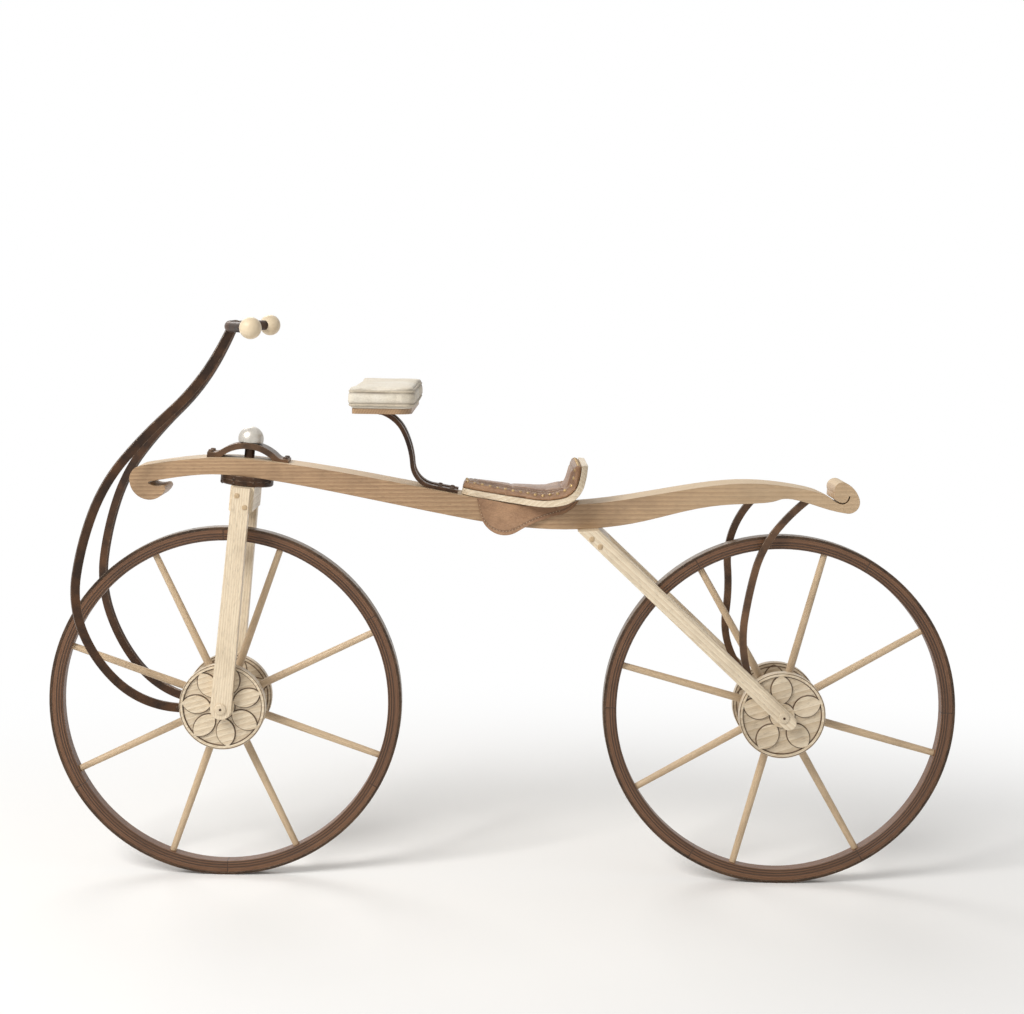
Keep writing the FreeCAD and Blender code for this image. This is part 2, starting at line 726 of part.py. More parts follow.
def make_handle_knob(hand, bar):
    """A turned wooden ball on the end of the handle."""
    back, across = handle_end()
    ball = doc.addObject("Part::Sphere", f"handle_knob_{hand}_ball")
    ball.setExpression("Radius", "sizes.handle_knob_radius")
    place(ball, HANDLE_X + back, HANDED[hand] * across, HANDLE_Z)
    keep(trimmed(f"handle_knob_{hand}", ball, [bar]), f"handle_knob_{hand}")


# Rear carriage: two straight struts with a bolster between their tops, and two bent stays
STRUT_TOP_Z = perch_level(size("strut_top_place"), "under")
STRUT_LENGTH = math.hypot(REAR_X - size("strut_top_place"), STRUT_TOP_Z - AXLE_Z)
STRUT_ANGLE = math.degrees(math.atan2(REAR_X - size("strut_top_place"), STRUT_TOP_Z - AXLE_Z))
STRUT_TURN = FreeCAD.Rotation(V(0, -1, 0), STRUT_ANGLE)


def make_strut(hand):
    """A straight bar from a rounded end past the axle up to the perch's underside."""
    side = HANDED[hand]
    half = size("strut_width") / 2
    low = -size("strut_overrun")
    high = STRUT_LENGTH + size("strut_width")
    bore = Part.Circle(V(0, 0, 0), V(0, 0, 1), size("axle_radius") + size("fit_gap"))
    outline = [
        Part.Arc(V(-half, low + half, 0), V(0, low, 0), V(half, low + half, 0)),
        Part.LineSegment(V(half, low + half, 0), V(half, high, 0)),
        Part.LineSegment(V(half, high, 0), V(-half, high, 0)),
        Part.LineSegment(V(-half, high, 0), V(-half, low + half, 0)),
        bore]
    body = padded(f"strut_{hand}_body", "XZ_Plane", outline, "sizes.strut_thickness")
    y = side * (LEG_INNER + STRUT_OUTER) / 2
    place(body, REAR_X, y, AXLE_Z, STRUT_TURN)
    edge = size("strut_thickness") / 2
    bevel = size("strut_bevel")
    beyond = [(half - bevel - OVERRUN, edge + OVERRUN), (half + OVERRUN, edge - bevel - OVERRUN),
              (half + OVERRUN, edge + OVERRUN)]
    wedge = padded(f"strut_{hand}_bevel", "XY_Plane", polygon([(x, side * out) for x, out in beyond]),
                   "2 * sizes.wheelbase")
    place(wedge, REAR_X, y, AXLE_Z, STRUT_TURN)
    keep(trimmed(f"strut_{hand}", body, [perch_block, wedge]), f"rear_strut_{hand}")


def make_bolster():
    """A cross block under the perch that the struts' tops are fixed to."""
    half = size("strut_width") / 2
    low = STRUT_LENGTH - size("bolster_height")
    high = STRUT_LENGTH + size("strut_width")
    outline = polygon([(-half, low), (half, low), (half, high), (-half, high)])
    body = padded("bolster_body", "XZ_Plane", outline, f"{2 * LEG_INNER}")
    place(body, REAR_X, 0, AXLE_Z, STRUT_TURN)
    keep(trimmed("bolster", body, [perch_block]), "rear_bolster")


STAY_SHARES = (0.13, 0.36, 0.62, 0.84, 1.0)
HUMP_SLOPE = 8                     # of the hump at its foot


def stay_line(run, bow, rise):
    """The stay from its plate up: bowed forward by a flat hump, and swept back by a cubic to its head."""
    points = []
    for share in STAY_SHARES:
        hump = 1 - (2 * share - 1) ** 4
        points.append((run * share ** 3 - bow * hump, rise * share))
    first_heading = math.degrees(math.atan2(rise, -HUMP_SLOPE * bow))
    return first_heading, points


def make_stay(hand, plate):
    """One bent stay from the plate's edge up to the perch's underside."""
    side = HANDED[hand]
    half = size("stay_width") / 2
    angle = size("stay_plate_angle")
    foot = V(REAR_X, AXLE_Z, 0) + heading(angle) * size("plate_radius")
    head_x = size(f"{hand}_stay_head")
    rise = perch_level(head_x, "under") - foot.y
    first_heading, points = stay_line(head_x - foot.x, size(f"{hand}_stay_bow"), rise)
    start = heading(first_heading) * -OVERRUN
    last = V(*points[-1], 0) - V(*points[-2], 0)
    beyond = V(*points[-1], 0) + last * (2 * OVERRUN / last.Length)
    outline = band((start.x, start.y), first_heading, points + [(beyond.x, beyond.y)], -half, half)
    body = padded(f"stay_{hand}_body", "XZ_Plane", outline, "sizes.stay_thickness")
    lean = FreeCAD.Rotation(V(1, 0, 0), side * size("stay_lean_angle"))
    place(body, foot.x, side * PLATE_MIDDLE, foot.y, lean)
    keep(trimmed(f"stay_{hand}", body, [plate, perch_block]), f"rear_stay_{hand}")


# Saddle: a wooden tree on the perch, with a leather seat on it and a flap down each side
# The saddle's points below are written for this length, from its front to its cantle
SADDLE_DRAWN = 250
SADDLE_FRONT_LIFT = 18
SADDLE_HEADING = -10


def saddle_line():
    """The middle of the tree's thickness, from its front to the top of the cantle."""
    length = size("saddle_length") / SADDLE_DRAWN
    rise = size("cantle_rise")
    low = SEAT_BED + size("tree_thickness") / 2
    start = (-140 * length, low + SADDLE_FRONT_LIFT)
    points = [(0, low), (58 * length, low + rise * 0.1), (92 * length, low + rise * 0.7),
              (98 * length, rise)]
    return start, SADDLE_HEADING, points


def saddle_plan(inset):
    """The saddle from above: narrow at the front and wide at the cantle."""
    length = size("saddle_length") / SADDLE_DRAWN
    wide = size("saddle_half_width") - inset
    front = -150 * length + inset
    points = [(-112 * length, wide * 0.42), (10 * length, wide * 0.78), (75 * length, wide),
              (106 * length, wide * 0.86)]
    upper = tangent_arcs((front, 0), 90, points)
    lower = tangent_arcs((front, 0), -90, [(along, -across) for along, across in points])
    close = Part.LineSegment(upper[-1].EndPoint, lower[-1].EndPoint)
    return upper + lower + [close]


def saddle_piece(label, low, high, inset, tools):
    """A layer of the saddle: its side band cut to its outline from above."""
    start, angle, points = saddle_line()
    side_view = padded(f"{label}_side", "XZ_Plane", band(start, angle, points, low, high),
                       "3 * sizes.saddle_half_width")
    plan_view = padded(f"{label}_plan", "XY_Plane", saddle_plan(inset), "2 * sizes.saddle_length")
    both = doc.addObject("Part::Common", f"{label}_both")
    both.Base = side_view
    both.Tool = plan_view
    keep(trimmed(label, both, tools), label)


def make_flap(hand):
    """A leather flap that hangs from the tree beside the perch, with a rounded lower edge."""
    length = size("saddle_length") / SADDLE_DRAWN
    depth = size("flap_depth")
    front, back = -110 * length, 88 * length
    top = [(front, SEAT_BED + depth * 0.25), (front / 2, SEAT_BED + depth * 0.04),
           (0, SEAT_BED - depth * 0.06), (60 * length, SEAT_BED), (back, SEAT_BED + depth * 0.19)]
    rim = tangent_arcs(top[-1], -118, [(52 * length, SEAT_BED - depth * 0.35),
                       (-30 * length, SEAT_BED - depth), (-100 * length, SEAT_BED - depth * 0.55)])
    corners = [V(along, up, 0) for along, up in top]
    edges = [Part.LineSegment(a, b) for a, b in zip(corners, corners[1:])]
    edges += rim + [Part.LineSegment(rim[-1].EndPoint, corners[0])]
    body = padded(f"flap_{hand}_body", "XZ_Plane", edges, "sizes.flap_thickness")
    y = size("perch_width") / 2 + size("slide_gap") + size("flap_thickness") / 2
    keep(place(body, 0, HANDED[hand] * y, 0), f"saddle_flap_{hand}")


# Arm rest: a padded board across the machine, on two bent iron stays from the perch
def rest_plan(inset):
    """The arm rest from above, with its rear corners rounded off."""
    front = -size("rest_front") + inset
    back = front + size("rest_length") - 2 * inset
    half = size("rest_width") / 2 - inset
    near = size("rest_front_corner")
    far = size("rest_corner")
    bend = 1 - math.cos(math.radians(45))
    edges = []
    for side in (1, -1):
        edges += [
            Part.LineSegment(V(front, 0, 0), V(front, side * (half - near), 0)),
            Part.LineSegment(V(front + near, side * half, 0), V(back - far, side * half, 0)),
            Part.LineSegment(V(back, side * (half - far), 0), V(back, 0, 0)),
            Part.Arc(V(front, side * (half - near), 0),
                     V(front + near * bend, side * (half - near * bend), 0),
                     V(front + near, side * half, 0)),
            Part.Arc(V(back - far, side * half, 0),
                     V(back - far * bend, side * (half - far * bend), 0),
                     V(back, side * (half - far), 0))]
    return edges


def make_arm_rest():
    """The board, and the pad on it."""
    low = size("rest_height")
    board = padded("rest_board_body", "XY_Plane", rest_plan(size("rest_inset")),
                   "sizes.rest_board_thickness", 0, False)
    keep(place(board, 0, 0, low), "arm_rest_board")
    pad = padded("rest_pad_body", "XY_Plane", rest_plan(0), "sizes.rest_pad_thickness", 0, False)
    keep(place(pad, 0, 0, low + size("rest_board_thickness")), "arm_rest_pad")
    return board


REST_STAY_SHAPE = [(0, 0), (0.286, 0.298), (0.414, 0.728), (0.571, 0.90), (0.89, 1.0), (1.0, 1.0)]
REST_STAY_BED = 1                  # how far foot and head are made into what they lie on


def make_rest_stay(hand, board):
    """A bent iron stay with a foot on the perch and a head under the board."""
    half = size("rest_stay_thickness") / 2
    foot_x = saddle_line()[0][0] - size("rest_foot_gap")
    toe_x = foot_x - size("rest_foot_length")
    foot_z = perch_level(foot_x, "top") + half - REST_STAY_BED
    toe_z = perch_level(toe_x, "top") + half - REST_STAY_BED
    slope = math.degrees(math.atan2(toe_z - foot_z, toe_x - foot_x))
    rise = size("rest_height") - half + REST_STAY_BED - toe_z
    run = toe_x + size("rest_front") - 2 * size("rest_inset")
    points = [(toe_x - along * run, toe_z + up * rise) for along, up in REST_STAY_SHAPE]
    outline = band((foot_x, foot_z), slope, points, -half, half)
    body = padded(f"rest_stay_{hand}_body", "XZ_Plane", outline, "sizes.rest_stay_width")
    place(body, 0, HANDED[hand] * size("rest_stay_spacing") / 2, 0)
    keep(trimmed(f"rest_stay_{hand}", body, [perch_block, board]), f"arm_rest_stay_{hand}")


def make_all():
    """Every sub-part, in the order that the machine is put together."""
    make_perch()
    make_wheel("front", FRONT_X, size("front_spoke_angle"))
    make_wheel("rear", REAR_X, size("rear_spoke_angle"))
    make_axle("front", FRONT_X, LEG_OUTER)
    make_axle("rear", REAR_X, STRUT_OUTER)
    make_crown()
    make_turning_plates()
    make_bridge()
    make_spindle()
    make_bolster()
    bar = make_handle()
    tree_half = size("tree_thickness") / 2
    saddle_piece("saddle_tree", -tree_half, tree_half, 0, [perch_block])
    saddle_piece("saddle_seat", tree_half, tree_half + size("seat_thickness"), size("seat_inset"), [])
    board = make_arm_rest()
    for hand, side in HANDED.items():
        front_plate = make_boss_plate("front", hand, FRONT_X, size("front_petal_angle"))
        rear_plate = make_boss_plate("rear", hand, REAR_X, size("rear_petal_angle"))
        make_fork_leg(hand)
        make_arm(hand, front_plate, bar)
        make_handle_knob(hand, bar)
        make_strut(hand)
        make_stay(hand, rear_plate)
        make_flap(hand)
        make_rest_stay(hand, board)


def check_document():
    """Stop if anything failed, or if a sub-part has no valid solid."""
    for item in doc.Objects:
        if "Invalid" in item.State or "Error" in item.State:
            raise RuntimeError(f"{item.Name} failed: {item.State}")
    for item in sub_parts:
        shape = item.Shape
        if shape.isNull() or not shape.isValid() or not shape.Solids:
            raise RuntimeError(f"{item.Label} has no valid solid")


make_all()
doc.recompute()
check_document()
for item in sub_parts:
    item.Shape.exportStep(f"parts/{item.Label}.step")
    box = item.Shape.BoundBox
    print(f"{item.Label}: {len(item.Shape.Solids)} solids, volume {item.Shape.Volume:.0f},"
          f" x {box.XMin:.1f} {box.XMax:.1f}, y {box.YMin:.1f} {box.YMax:.1f},"
          f" z {box.ZMin:.1f} {box.ZMax:.1f}")
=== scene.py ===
# Dandy horse, a two-wheeled running machine of about 1819, dressed over its CAD frame.
# Metres throughout. The machine faces -X, its left side is -Y, and the ground is at the tyres' lowest point.
import math

import bmesh
import bpy
import numpy as np
from mathutils import Matrix, Vector
from mathutils.bvhtree import BVHTree
from mathutils.kdtree import KDTree


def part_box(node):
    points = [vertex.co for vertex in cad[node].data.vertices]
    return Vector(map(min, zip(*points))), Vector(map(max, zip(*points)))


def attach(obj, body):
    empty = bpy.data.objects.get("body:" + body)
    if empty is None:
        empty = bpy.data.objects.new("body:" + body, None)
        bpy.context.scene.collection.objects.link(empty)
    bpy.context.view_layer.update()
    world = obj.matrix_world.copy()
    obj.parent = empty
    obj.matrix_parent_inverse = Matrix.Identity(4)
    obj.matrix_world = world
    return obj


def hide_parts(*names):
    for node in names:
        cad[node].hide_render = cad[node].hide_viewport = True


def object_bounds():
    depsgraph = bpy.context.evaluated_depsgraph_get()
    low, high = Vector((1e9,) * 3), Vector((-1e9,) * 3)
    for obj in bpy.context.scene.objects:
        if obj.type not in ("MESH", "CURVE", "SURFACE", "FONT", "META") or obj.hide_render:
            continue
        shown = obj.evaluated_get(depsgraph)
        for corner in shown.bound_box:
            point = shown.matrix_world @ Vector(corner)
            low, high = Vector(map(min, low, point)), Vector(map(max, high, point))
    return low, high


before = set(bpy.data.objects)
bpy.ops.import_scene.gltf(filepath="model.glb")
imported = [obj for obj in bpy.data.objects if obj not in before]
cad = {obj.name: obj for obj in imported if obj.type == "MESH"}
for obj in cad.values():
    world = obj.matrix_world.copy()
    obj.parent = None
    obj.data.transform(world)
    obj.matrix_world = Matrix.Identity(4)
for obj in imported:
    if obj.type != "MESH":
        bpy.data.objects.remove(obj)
cad_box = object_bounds()


# Ground and studio light: a pale floor that fades to white away from the machine, a broad soft key,
# a weaker fill from the right and an even sky, so that a colour renders about as it is written.
GROUND = cad_box[0].z
WHITE = (1.0, 1.0, 1.0)
FLOOR_HALF = 60.0
FLOOR_PAPER = {"Base Color": (0.965, 0.962, 0.955), "Roughness": 0.95, "Specular IOR Level": 0.1}
CLEAR_FROM = 0.12  # the floor starts to fade this far from the machine, and is white at the end
CLEAR_TO = 1.9
FLOOR_LENGTHEN = 0.62  # along the machine the fade is this much slower
SKY_COLOUR = (1.0, 0.985, 0.96)
SKY_LEVEL = 0.38
LAMP_AIM = Vector((-0.05, 0, -0.25))


class Nodes:
    """A node tree being made: short calls add its nodes and join them."""

    def __init__(self, tree):
        self.tree = tree
        tree.nodes.clear()

    def feed(self, target, value):
        """Give an input another node's output, a colour or a number."""
        if isinstance(value, bpy.types.NodeSocket):
            self.tree.links.new(value, target)
        else:
            target.default_value = (*value, 1) if target.type == "RGBA" else value

    def node(self, kind, inputs=None, **settings):
        """One shader node, with its settings and with what its inputs are given."""
        made = self.tree.nodes.new("ShaderNode" + kind)
        for key, value in settings.items():
            setattr(made, key, value)
        for key, value in (inputs or {}).items():
            self.feed(made.inputs[key], value)
        return made

    def maths(self, operation, *values):
        return self.node("Math", dict(enumerate(values)), operation=operation).outputs[0]

    def times(self, first, second):
        return self.maths("MULTIPLY", first, second)

    def scaled(self, amount, factor, added):
        """The amount times the factor, with something added."""
        return self.maths("MULTIPLY_ADD", amount, factor, added)

    def larger(self, first, second):
        return self.maths("MAXIMUM", first, second)

    def turned_white(self, shader, share, kind):
        """A shader that gives way, by a share, to plain white where the camera, a reflection or glass sees it."""
        rays = self.node("LightPath").outputs
        seen = self.larger(rays["Is Camera Ray"], self.larger(rays["Is Glossy Ray"], rays["Is Transmission Ray"]))
        white = self.node(kind, {0: WHITE, 1: 1.0}).outputs[0]
        return self.node("MixShader", {0: self.times(share, seen), 1: shader, 2: white}).outputs[0]


class Look(Nodes):
    """A material being made on one glossy shader, laid out in Object coordinates."""

    def __init__(self, name, constants=None):
        self.material = bpy.data.materials.new(name)
        self.material.use_nodes = True
        super().__init__(self.material.node_tree)
        self.shader = self.node("BsdfPrincipled", constants)
        self.output = self.node("OutputMaterial", {0: self.shader.outputs[0]})
        self.place = self.node("TexCoord").outputs["Object"]

    def vector(self, x, y, z=0.0):
        return self.node("CombineXYZ", {0: x, 1: y, 2: z}).outputs[0]

    def parts(self, vector):
        return self.node("SeparateXYZ", {0: vector}).outputs

    def length(self, vector):
        return self.node("VectorMath", {0: vector}, operation="LENGTH").outputs["Value"]

    def moved(self, vector, step):
        return self.node("VectorMath", {0: vector, 1: step}, operation="ADD").outputs[0]

    def stretched(self, vector, scale, move=(0, 0, 0)):
        return self.node("Mapping", {0: vector, 1: move, 3: scale}).outputs[0]

    def turned_to(self, grain):
        """Object coordinates turned so that their first axis runs along the given direction."""
        turn = Vector(grain).to_track_quat("X", "Z").inverted().to_euler()
        return self.node("Mapping", {0: self.place, 2: turn}).outputs[0]

    def noise(self, vector, scale, detail=3.0, roughness=0.5):
        return self.node("TexNoise", {"Vector": vector, "Scale": scale, "Detail": detail,
                                      "Roughness": roughness}).outputs[0]

    def ramp(self, amount, *stops):
        """A colour or level for each place given along 0 to 1."""
        made = self.node("ValToRGB", {0: amount})
        band = made.color_ramp
        while len(band.elements) < len(stops):
            band.elements.new(0.5)
        for element, (where, colour) in zip(band.elements, stops):
            element.position = where
            element.color = (*colour, 1) if isinstance(colour, tuple) else (colour, colour, colour, 1)
        return made.outputs[0]

    def fade(self, amount, start, end, low=0.0, high=1.0, **settings):
        """A level that goes from low to high while the amount goes from start to end."""
        return self.node("MapRange", {0: amount, 1: start, 2: end, 3: low, 4: high}, **settings).outputs[0]

    def band(self, amount, where, half):
        """1 within a narrow band about a value, falling to 0 at twice its half width."""
        off = self.maths("ABSOLUTE", self.maths("SUBTRACT", amount, where))
        return self.fade(off, half, 2 * half, 1.0, 0.0)

    def blend(self, amount, low, high, kind="MIX"):
        """The second colour laid over the first by an amount from 0 to 1."""
        return self.node("Mix", {0: amount, 6: low, 7: high}, data_type="RGBA", blend_type=kind).outputs[2]

    def relief(self, height, depth, below=None):
        """A bump of the given depth in metres, on top of another where one is given."""
        inputs = {"Height": height, "Distance": depth, "Strength": 1.0}
        if below is not None:
            inputs["Normal"] = below
        return self.node("Bump", inputs).outputs[0]

    def eased(self, radius):
        """Edges that catch the light as if rounded by the given radius in metres."""
        return self.node("Bevel", {"Radius": radius}, samples=4).outputs[0]

    def edges(self, radius):
        """1 along sharp edges and 0 on flat faces: how far the rounded normal leans from the face's own."""
        own = self.node("NewGeometry").outputs["Normal"]
        lean = self.node("VectorMath", {0: self.eased(radius), 1: own}, operation="DOT_PRODUCT")
        return self.fade(lean.outputs["Value"], 0.995, 0.88)

    def wear(self, colour, roughness, normal):
        """Put the finished colour, roughness and normal on the shader."""
        for key, value in (("Base Color", colour), ("Roughness", roughness), ("Normal", normal)):
            self.feed(self.shader.inputs[key], value)
        return self.material


def placed(name, data):
    """A new object in the scene that holds a mesh, a lamp or a camera."""
    made = bpy.data.objects.new(name, data)
    bpy.context.scene.collection.objects.link(made)
    return made


def as_mesh(name, points, faces):
    """A mesh from arrays of points and of faces."""
    mesh = bpy.data.meshes.new(name)
    mesh.from_pydata(points.reshape(-1, 3), [], faces)
    return mesh


def make_floor():
    """A flat square; its look mixes from a matt pale floor to plain white by distance from the origin."""
    corners = np.array([(-1, -1), (1, -1), (1, 1), (-1, 1)]) * FLOOR_HALF
    mesh = as_mesh("floor", np.column_stack([corners, np.full(4, GROUND)]), [(0, 1, 2, 3)])
    look = Look("floor_paper", FLOOR_PAPER)
    away = look.length(look.stretched(look.place, (FLOOR_LENGTHEN, 1.0, 0.0)))
    share = look.fade(away, CLEAR_FROM, CLEAR_TO, interpolation_type="SMOOTHERSTEP")
    mixed = look.turned_white(look.shader.outputs[0], share, "Emission")
    look.feed(look.output.inputs[0], mixed)
    mesh.materials.append(look.material)
    placed("floor", mesh)


def make_sky():
    """An even warm-white sky, plain white where the camera, a reflection or glass sees it."""
    world = bpy.data.worlds.new("studio")
    bpy.context.scene.world = world
    world.use_nodes = True
    sky = Nodes(world.node_tree)
    even = sky.node("Background", {0: SKY_COLOUR, 1: SKY_LEVEL}).outputs[0]
    sky.node("OutputWorld", {0: sky.turned_white(even, 1.0, "Background")})


def make_lamp(name, place, size, watts, colour):
    """A square soft light that faces the middle of the machine."""
    lamp = bpy.data.lights.new(name, "AREA")
    lamp.shape = "SQUARE"
    lamp.size, lamp.energy, lamp.color = size, watts, colour
    holder = placed(name, lamp)
    holder.location = place
    holder.rotation_mode = "QUATERNION"
    holder.rotation_quaternion = (LAMP_AIM - Vector(place)).to_track_quat("-Z", "Y")


make_floor()
make_sky()
make_lamp("key", (-2.9, -2.9, 3.0), 2.0, 200, (1.0, 0.98, 0.95))
make_lamp("fill", (3.4, -2.4, 1.4), 3.0, 8, (0.97, 0.98, 1.0))
make_lamp("back", (-1.6, 3.6, 2.8), 2.4, 62, (1.0, 0.985, 0.96))
bpy.context.scene.view_settings.view_transform = "Standard"


# Camera: at the picture's angle, square to the machine's left side, a little above the saddle and
# tilted slightly down and over, with a small shift because the machine stands low in the frame.
CAMERA_PLACE = (-0.0709, -3.5, 0.3918)
CAMERA_LENS = 62.55
CAMERA_TILT = math.radians(4.0)
CAMERA_ROLL = math.radians(0.895)
CAMERA_SHIFT = (0.0134, -0.0904)


def make_camera():
    """The camera's axes are worked out from its tilt and roll: across, upright and back from the view."""
    lens = bpy.data.cameras.new("picture")
    lens.lens = CAMERA_LENS
    lens.shift_x, lens.shift_y = CAMERA_SHIFT
    lens.clip_start, lens.clip_end = 0.05, 200
    right = Vector((1, 0, 0))
    up = Vector((0, math.sin(CAMERA_TILT), math.cos(CAMERA_TILT)))
    across = right * math.cos(CAMERA_ROLL) + up * math.sin(CAMERA_ROLL)
    upright = up * math.cos(CAMERA_ROLL) - right * math.sin(CAMERA_ROLL)
    turn = Matrix((across, upright, across.cross(upright))).transposed().to_4x4()
    holder = placed("picture", lens)
    holder.matrix_world = Matrix.Translation(CAMERA_PLACE) @ turn
    bpy.context.scene.camera = holder


make_camera()


# Perch: one long ash timber, sawn, steamed to its curve and oiled, with a scroll carved at its nose
# and a volute at its tail. The spindle passes through it, and everything else is fixed to it.
# Where a wood or a hide has two colours, they are its pale and its dark one.
PERCH_ASH = (0.53, 0.355, 0.205), (0.280, 0.158, 0.078)
# The perch's pale tone, laid on towards the tail and, as a painted highlight, on its upward faces.
PERCH_BLEACHED_AND_LIT = (0.80, 0.655, 0.45), (0.56, 0.39, 0.22)
PERCH_GRAIN = (1.0, 0.0, 0.02)
CROSS_GRAIN = (0.0, 1.0, 0.0)
BLEACH_FROM = 0.02  # places along X between which the perch turns paler
BLEACH_TO = 0.55
RING_WIDTH = 0.0045  # of one year's growth
GRAIN_RELIEF = 0.00022  # depth of the open grain in sawn planks
PERCH_RELIEF = 0.00013
OILED = {"Coat Weight": 0.10, "Coat Roughness": 0.30}
SIDES = (("left", -1), ("right", 1))


def both(name):
    return [f"{name}_{hand}" for hand, _ in SIDES]


def dress(names, look):
    """Give CAD pieces their look."""
    for name in names:
        slots = cad[name].data.materials
        slots.clear()
        slots.append(look)


def shade(colour, level):
    return tuple(level * part for part in colour)


def ash_parts(look, line, tones, rings=RING_WIDTH, roughness=0.42, seed=0.0, ease=0.0012):
    """Colour, roughness, grain height and rounded normal of oiled ash whose grain runs along the first
    of its line's axes: growth rings cut at a slant, long streaks, short open pores and slow changes of
    tone, under a thin satin oil that is duller where the pores are."""
    pale, dark = tones
    slow = look.stretched(line, (0.10, 1.0, 1.0), (seed, 0.31 * seed, 0.17 * seed))
    swirl = look.noise(slow, 9.0, 2.0)
    ring = look.node("TexWave", {"Vector": look.moved(slow, (0.0, 0.35, 0.22)), "Scale": 0.314 / rings,
                                 "Distortion": 5.0, "Detail": 3.0, "Detail Scale": 0.06, "Detail Roughness": 0.55},
                     wave_type="RINGS", rings_direction="X", wave_profile="SAW").outputs["Fac"]
    streak = look.noise(look.stretched(line, (14, 420, 420), (seed, 0, 0)), 1.0, 4.0, 0.6)
    pore = look.noise(look.stretched(line, (70, 1900, 1900), (0, seed, 0)), 1.0, 2.0)
    pores = look.ramp(pore, (0.58, 0.0), (0.68, 1.0))
    tone = look.scaled(swirl, 0.30, look.scaled(ring, 0.42, look.times(streak, 0.40)))
    wood = look.ramp(tone, (0.22, pale), (0.90, dark))
    deep = shade(dark, 0.45)
    wood = look.blend(look.times(pores, 0.55), wood, deep)
    wear = look.noise(look.place, 7.0, 5.0, 0.62)
    wood = look.blend(look.ramp(wear, (0.50, 0.0), (0.78, 0.45)), wood, deep, "MULTIPLY")
    rough = look.scaled(streak, 0.22, look.scaled(pores, 0.18, roughness - 0.10))
    return wood, rough, look.scaled(pores, -0.7, streak), look.eased(ease)


def oiled_ash(name, along, tones, rings=RING_WIDTH, seed=0.0):
    """Oiled ash with its grain along one direction, or along coordinates that a function gives."""
    look = Look(name, OILED)
    line = look.turned_to(along) if isinstance(along, tuple) else along(look)
    wood, rough, grain, below = ash_parts(look, line, tones, rings, seed=seed)
    return look.wear(wood, rough, look.relief(grain, GRAIN_RELIEF, below))


def perch_look():
    """Perch ash, paler towards the tail, where weather has taken the oil, and with a painted highlight along its
    upward faces, as if lit from above.
    """
    look = Look("perch_ash", OILED)
    line = look.turned_to(PERCH_GRAIN)
    side, rough, grain, below = ash_parts(look, line, PERCH_ASH, ease=0.0016)
    # Painted highlight: the more a face points up, the more it turns to the pale tone, as light from above would
    # show it; noise breaks its edge.
    up = look.parts(look.node("TexCoord").outputs["Normal"])[2]
    rubbed = look.scaled(look.noise(look.place, 30.0, 4.0), 0.3, up)
    share = look.ramp(rubbed, (0.55, 0.0), (0.85, 1.0))
    bleached_and_lit = look.blend(look.noise(look.stretched(line, (10, 160, 160)), 1.0), *PERCH_BLEACHED_AND_LIT)
    bleached = look.fade(look.parts(look.place)[0], BLEACH_FROM, BLEACH_TO, 0.0, 0.42)
    side = look.blend(bleached, side, bleached_and_lit)
    # The side colour gives way to the painted highlight on upward faces, which are also given a rougher surface.
    return look.wear(look.blend(look.times(share, 0.7), side, bleached_and_lit), look.scaled(share, 0.16, rough),
                     look.relief(grain, PERCH_RELIEF, below))


dress(["perch_beam"], perch_look())


# Wheels: six bent ash felloes in an iron tyre, with turned spokes and a turned, banded nave. The grain
# runs round in each felloe and along each spoke, and nails through the tyre hold it to the felloes.
RIM_ASH = (0.232, 0.112, 0.050), (0.098, 0.040, 0.016)
RIM_CUT = (0.030, 0.014, 0.006)
SPOKE_ASH = (0.74, 0.580, 0.390), (0.44, 0.295, 0.165)
BLACK_IRON = (0.032, 0.017, 0.010), (0.108, 0.049, 0.021)
IRON_BARE = (0.42, 0.315, 0.225)
TYRE_IRON = (0.034, 0.019, 0.011), (0.105, 0.056, 0.029)
ROAD_WORN = (0.30, 0.235, 0.175)
BROWN_IRON = (0.060, 0.034, 0.020), (0.175, 0.093, 0.048)
FELLOE_COUNT = 6
FELLOE_JOINT_TURN = {"front": math.radians(31), "rear": math.radians(0)}
JOINT_HALF = 0.0006  # half of the gap that is seen between two felloes
RIM_MIDDLE = 0.34  # radius of the middle of its sides
RIM_LINES = (0.3205, 0.3255, 0.3305, 0.3355)  # radii of the lines scribed round each side of the rim
RIM_LINE_HALF = 0.0007
EDGE_WEAR = 0.0018  # how far in from an edge the iron is rubbed bare
TREAD_START = 0.3492  # radius from which a tyre is scoured by the road
NAILS_A_WHEEL = 18
NAIL_OFFSET = 0.007  # of each nail from the tread's middle, to one side and the other in turn
NAIL_SUNK = 0.0004
SHARP_FROM = math.radians(62)


def middle_of(node):
    low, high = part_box(node)
    return (low + high) / 2


def about_axle(look, end):
    """Angle round a wheel's axle, distance from it, and place along it."""
    east, side, up = look.parts(look.moved(look.place, tuple(-middle_of(f"{end}_axle"))))
    return look.maths("ARCTAN2", up, east), look.length(look.vector(east, up)), side


def spoke_ash(end):
    """Turned ash whose grain runs outwards from the axle."""
    def outwards(look):
        angle, reach, side = about_axle(look, end)
        return look.vector(reach, look.times(angle, 0.9), side)

    return oiled_ash(f"{end}_spoke_ash", outwards, SPOKE_ASH, 0.004)


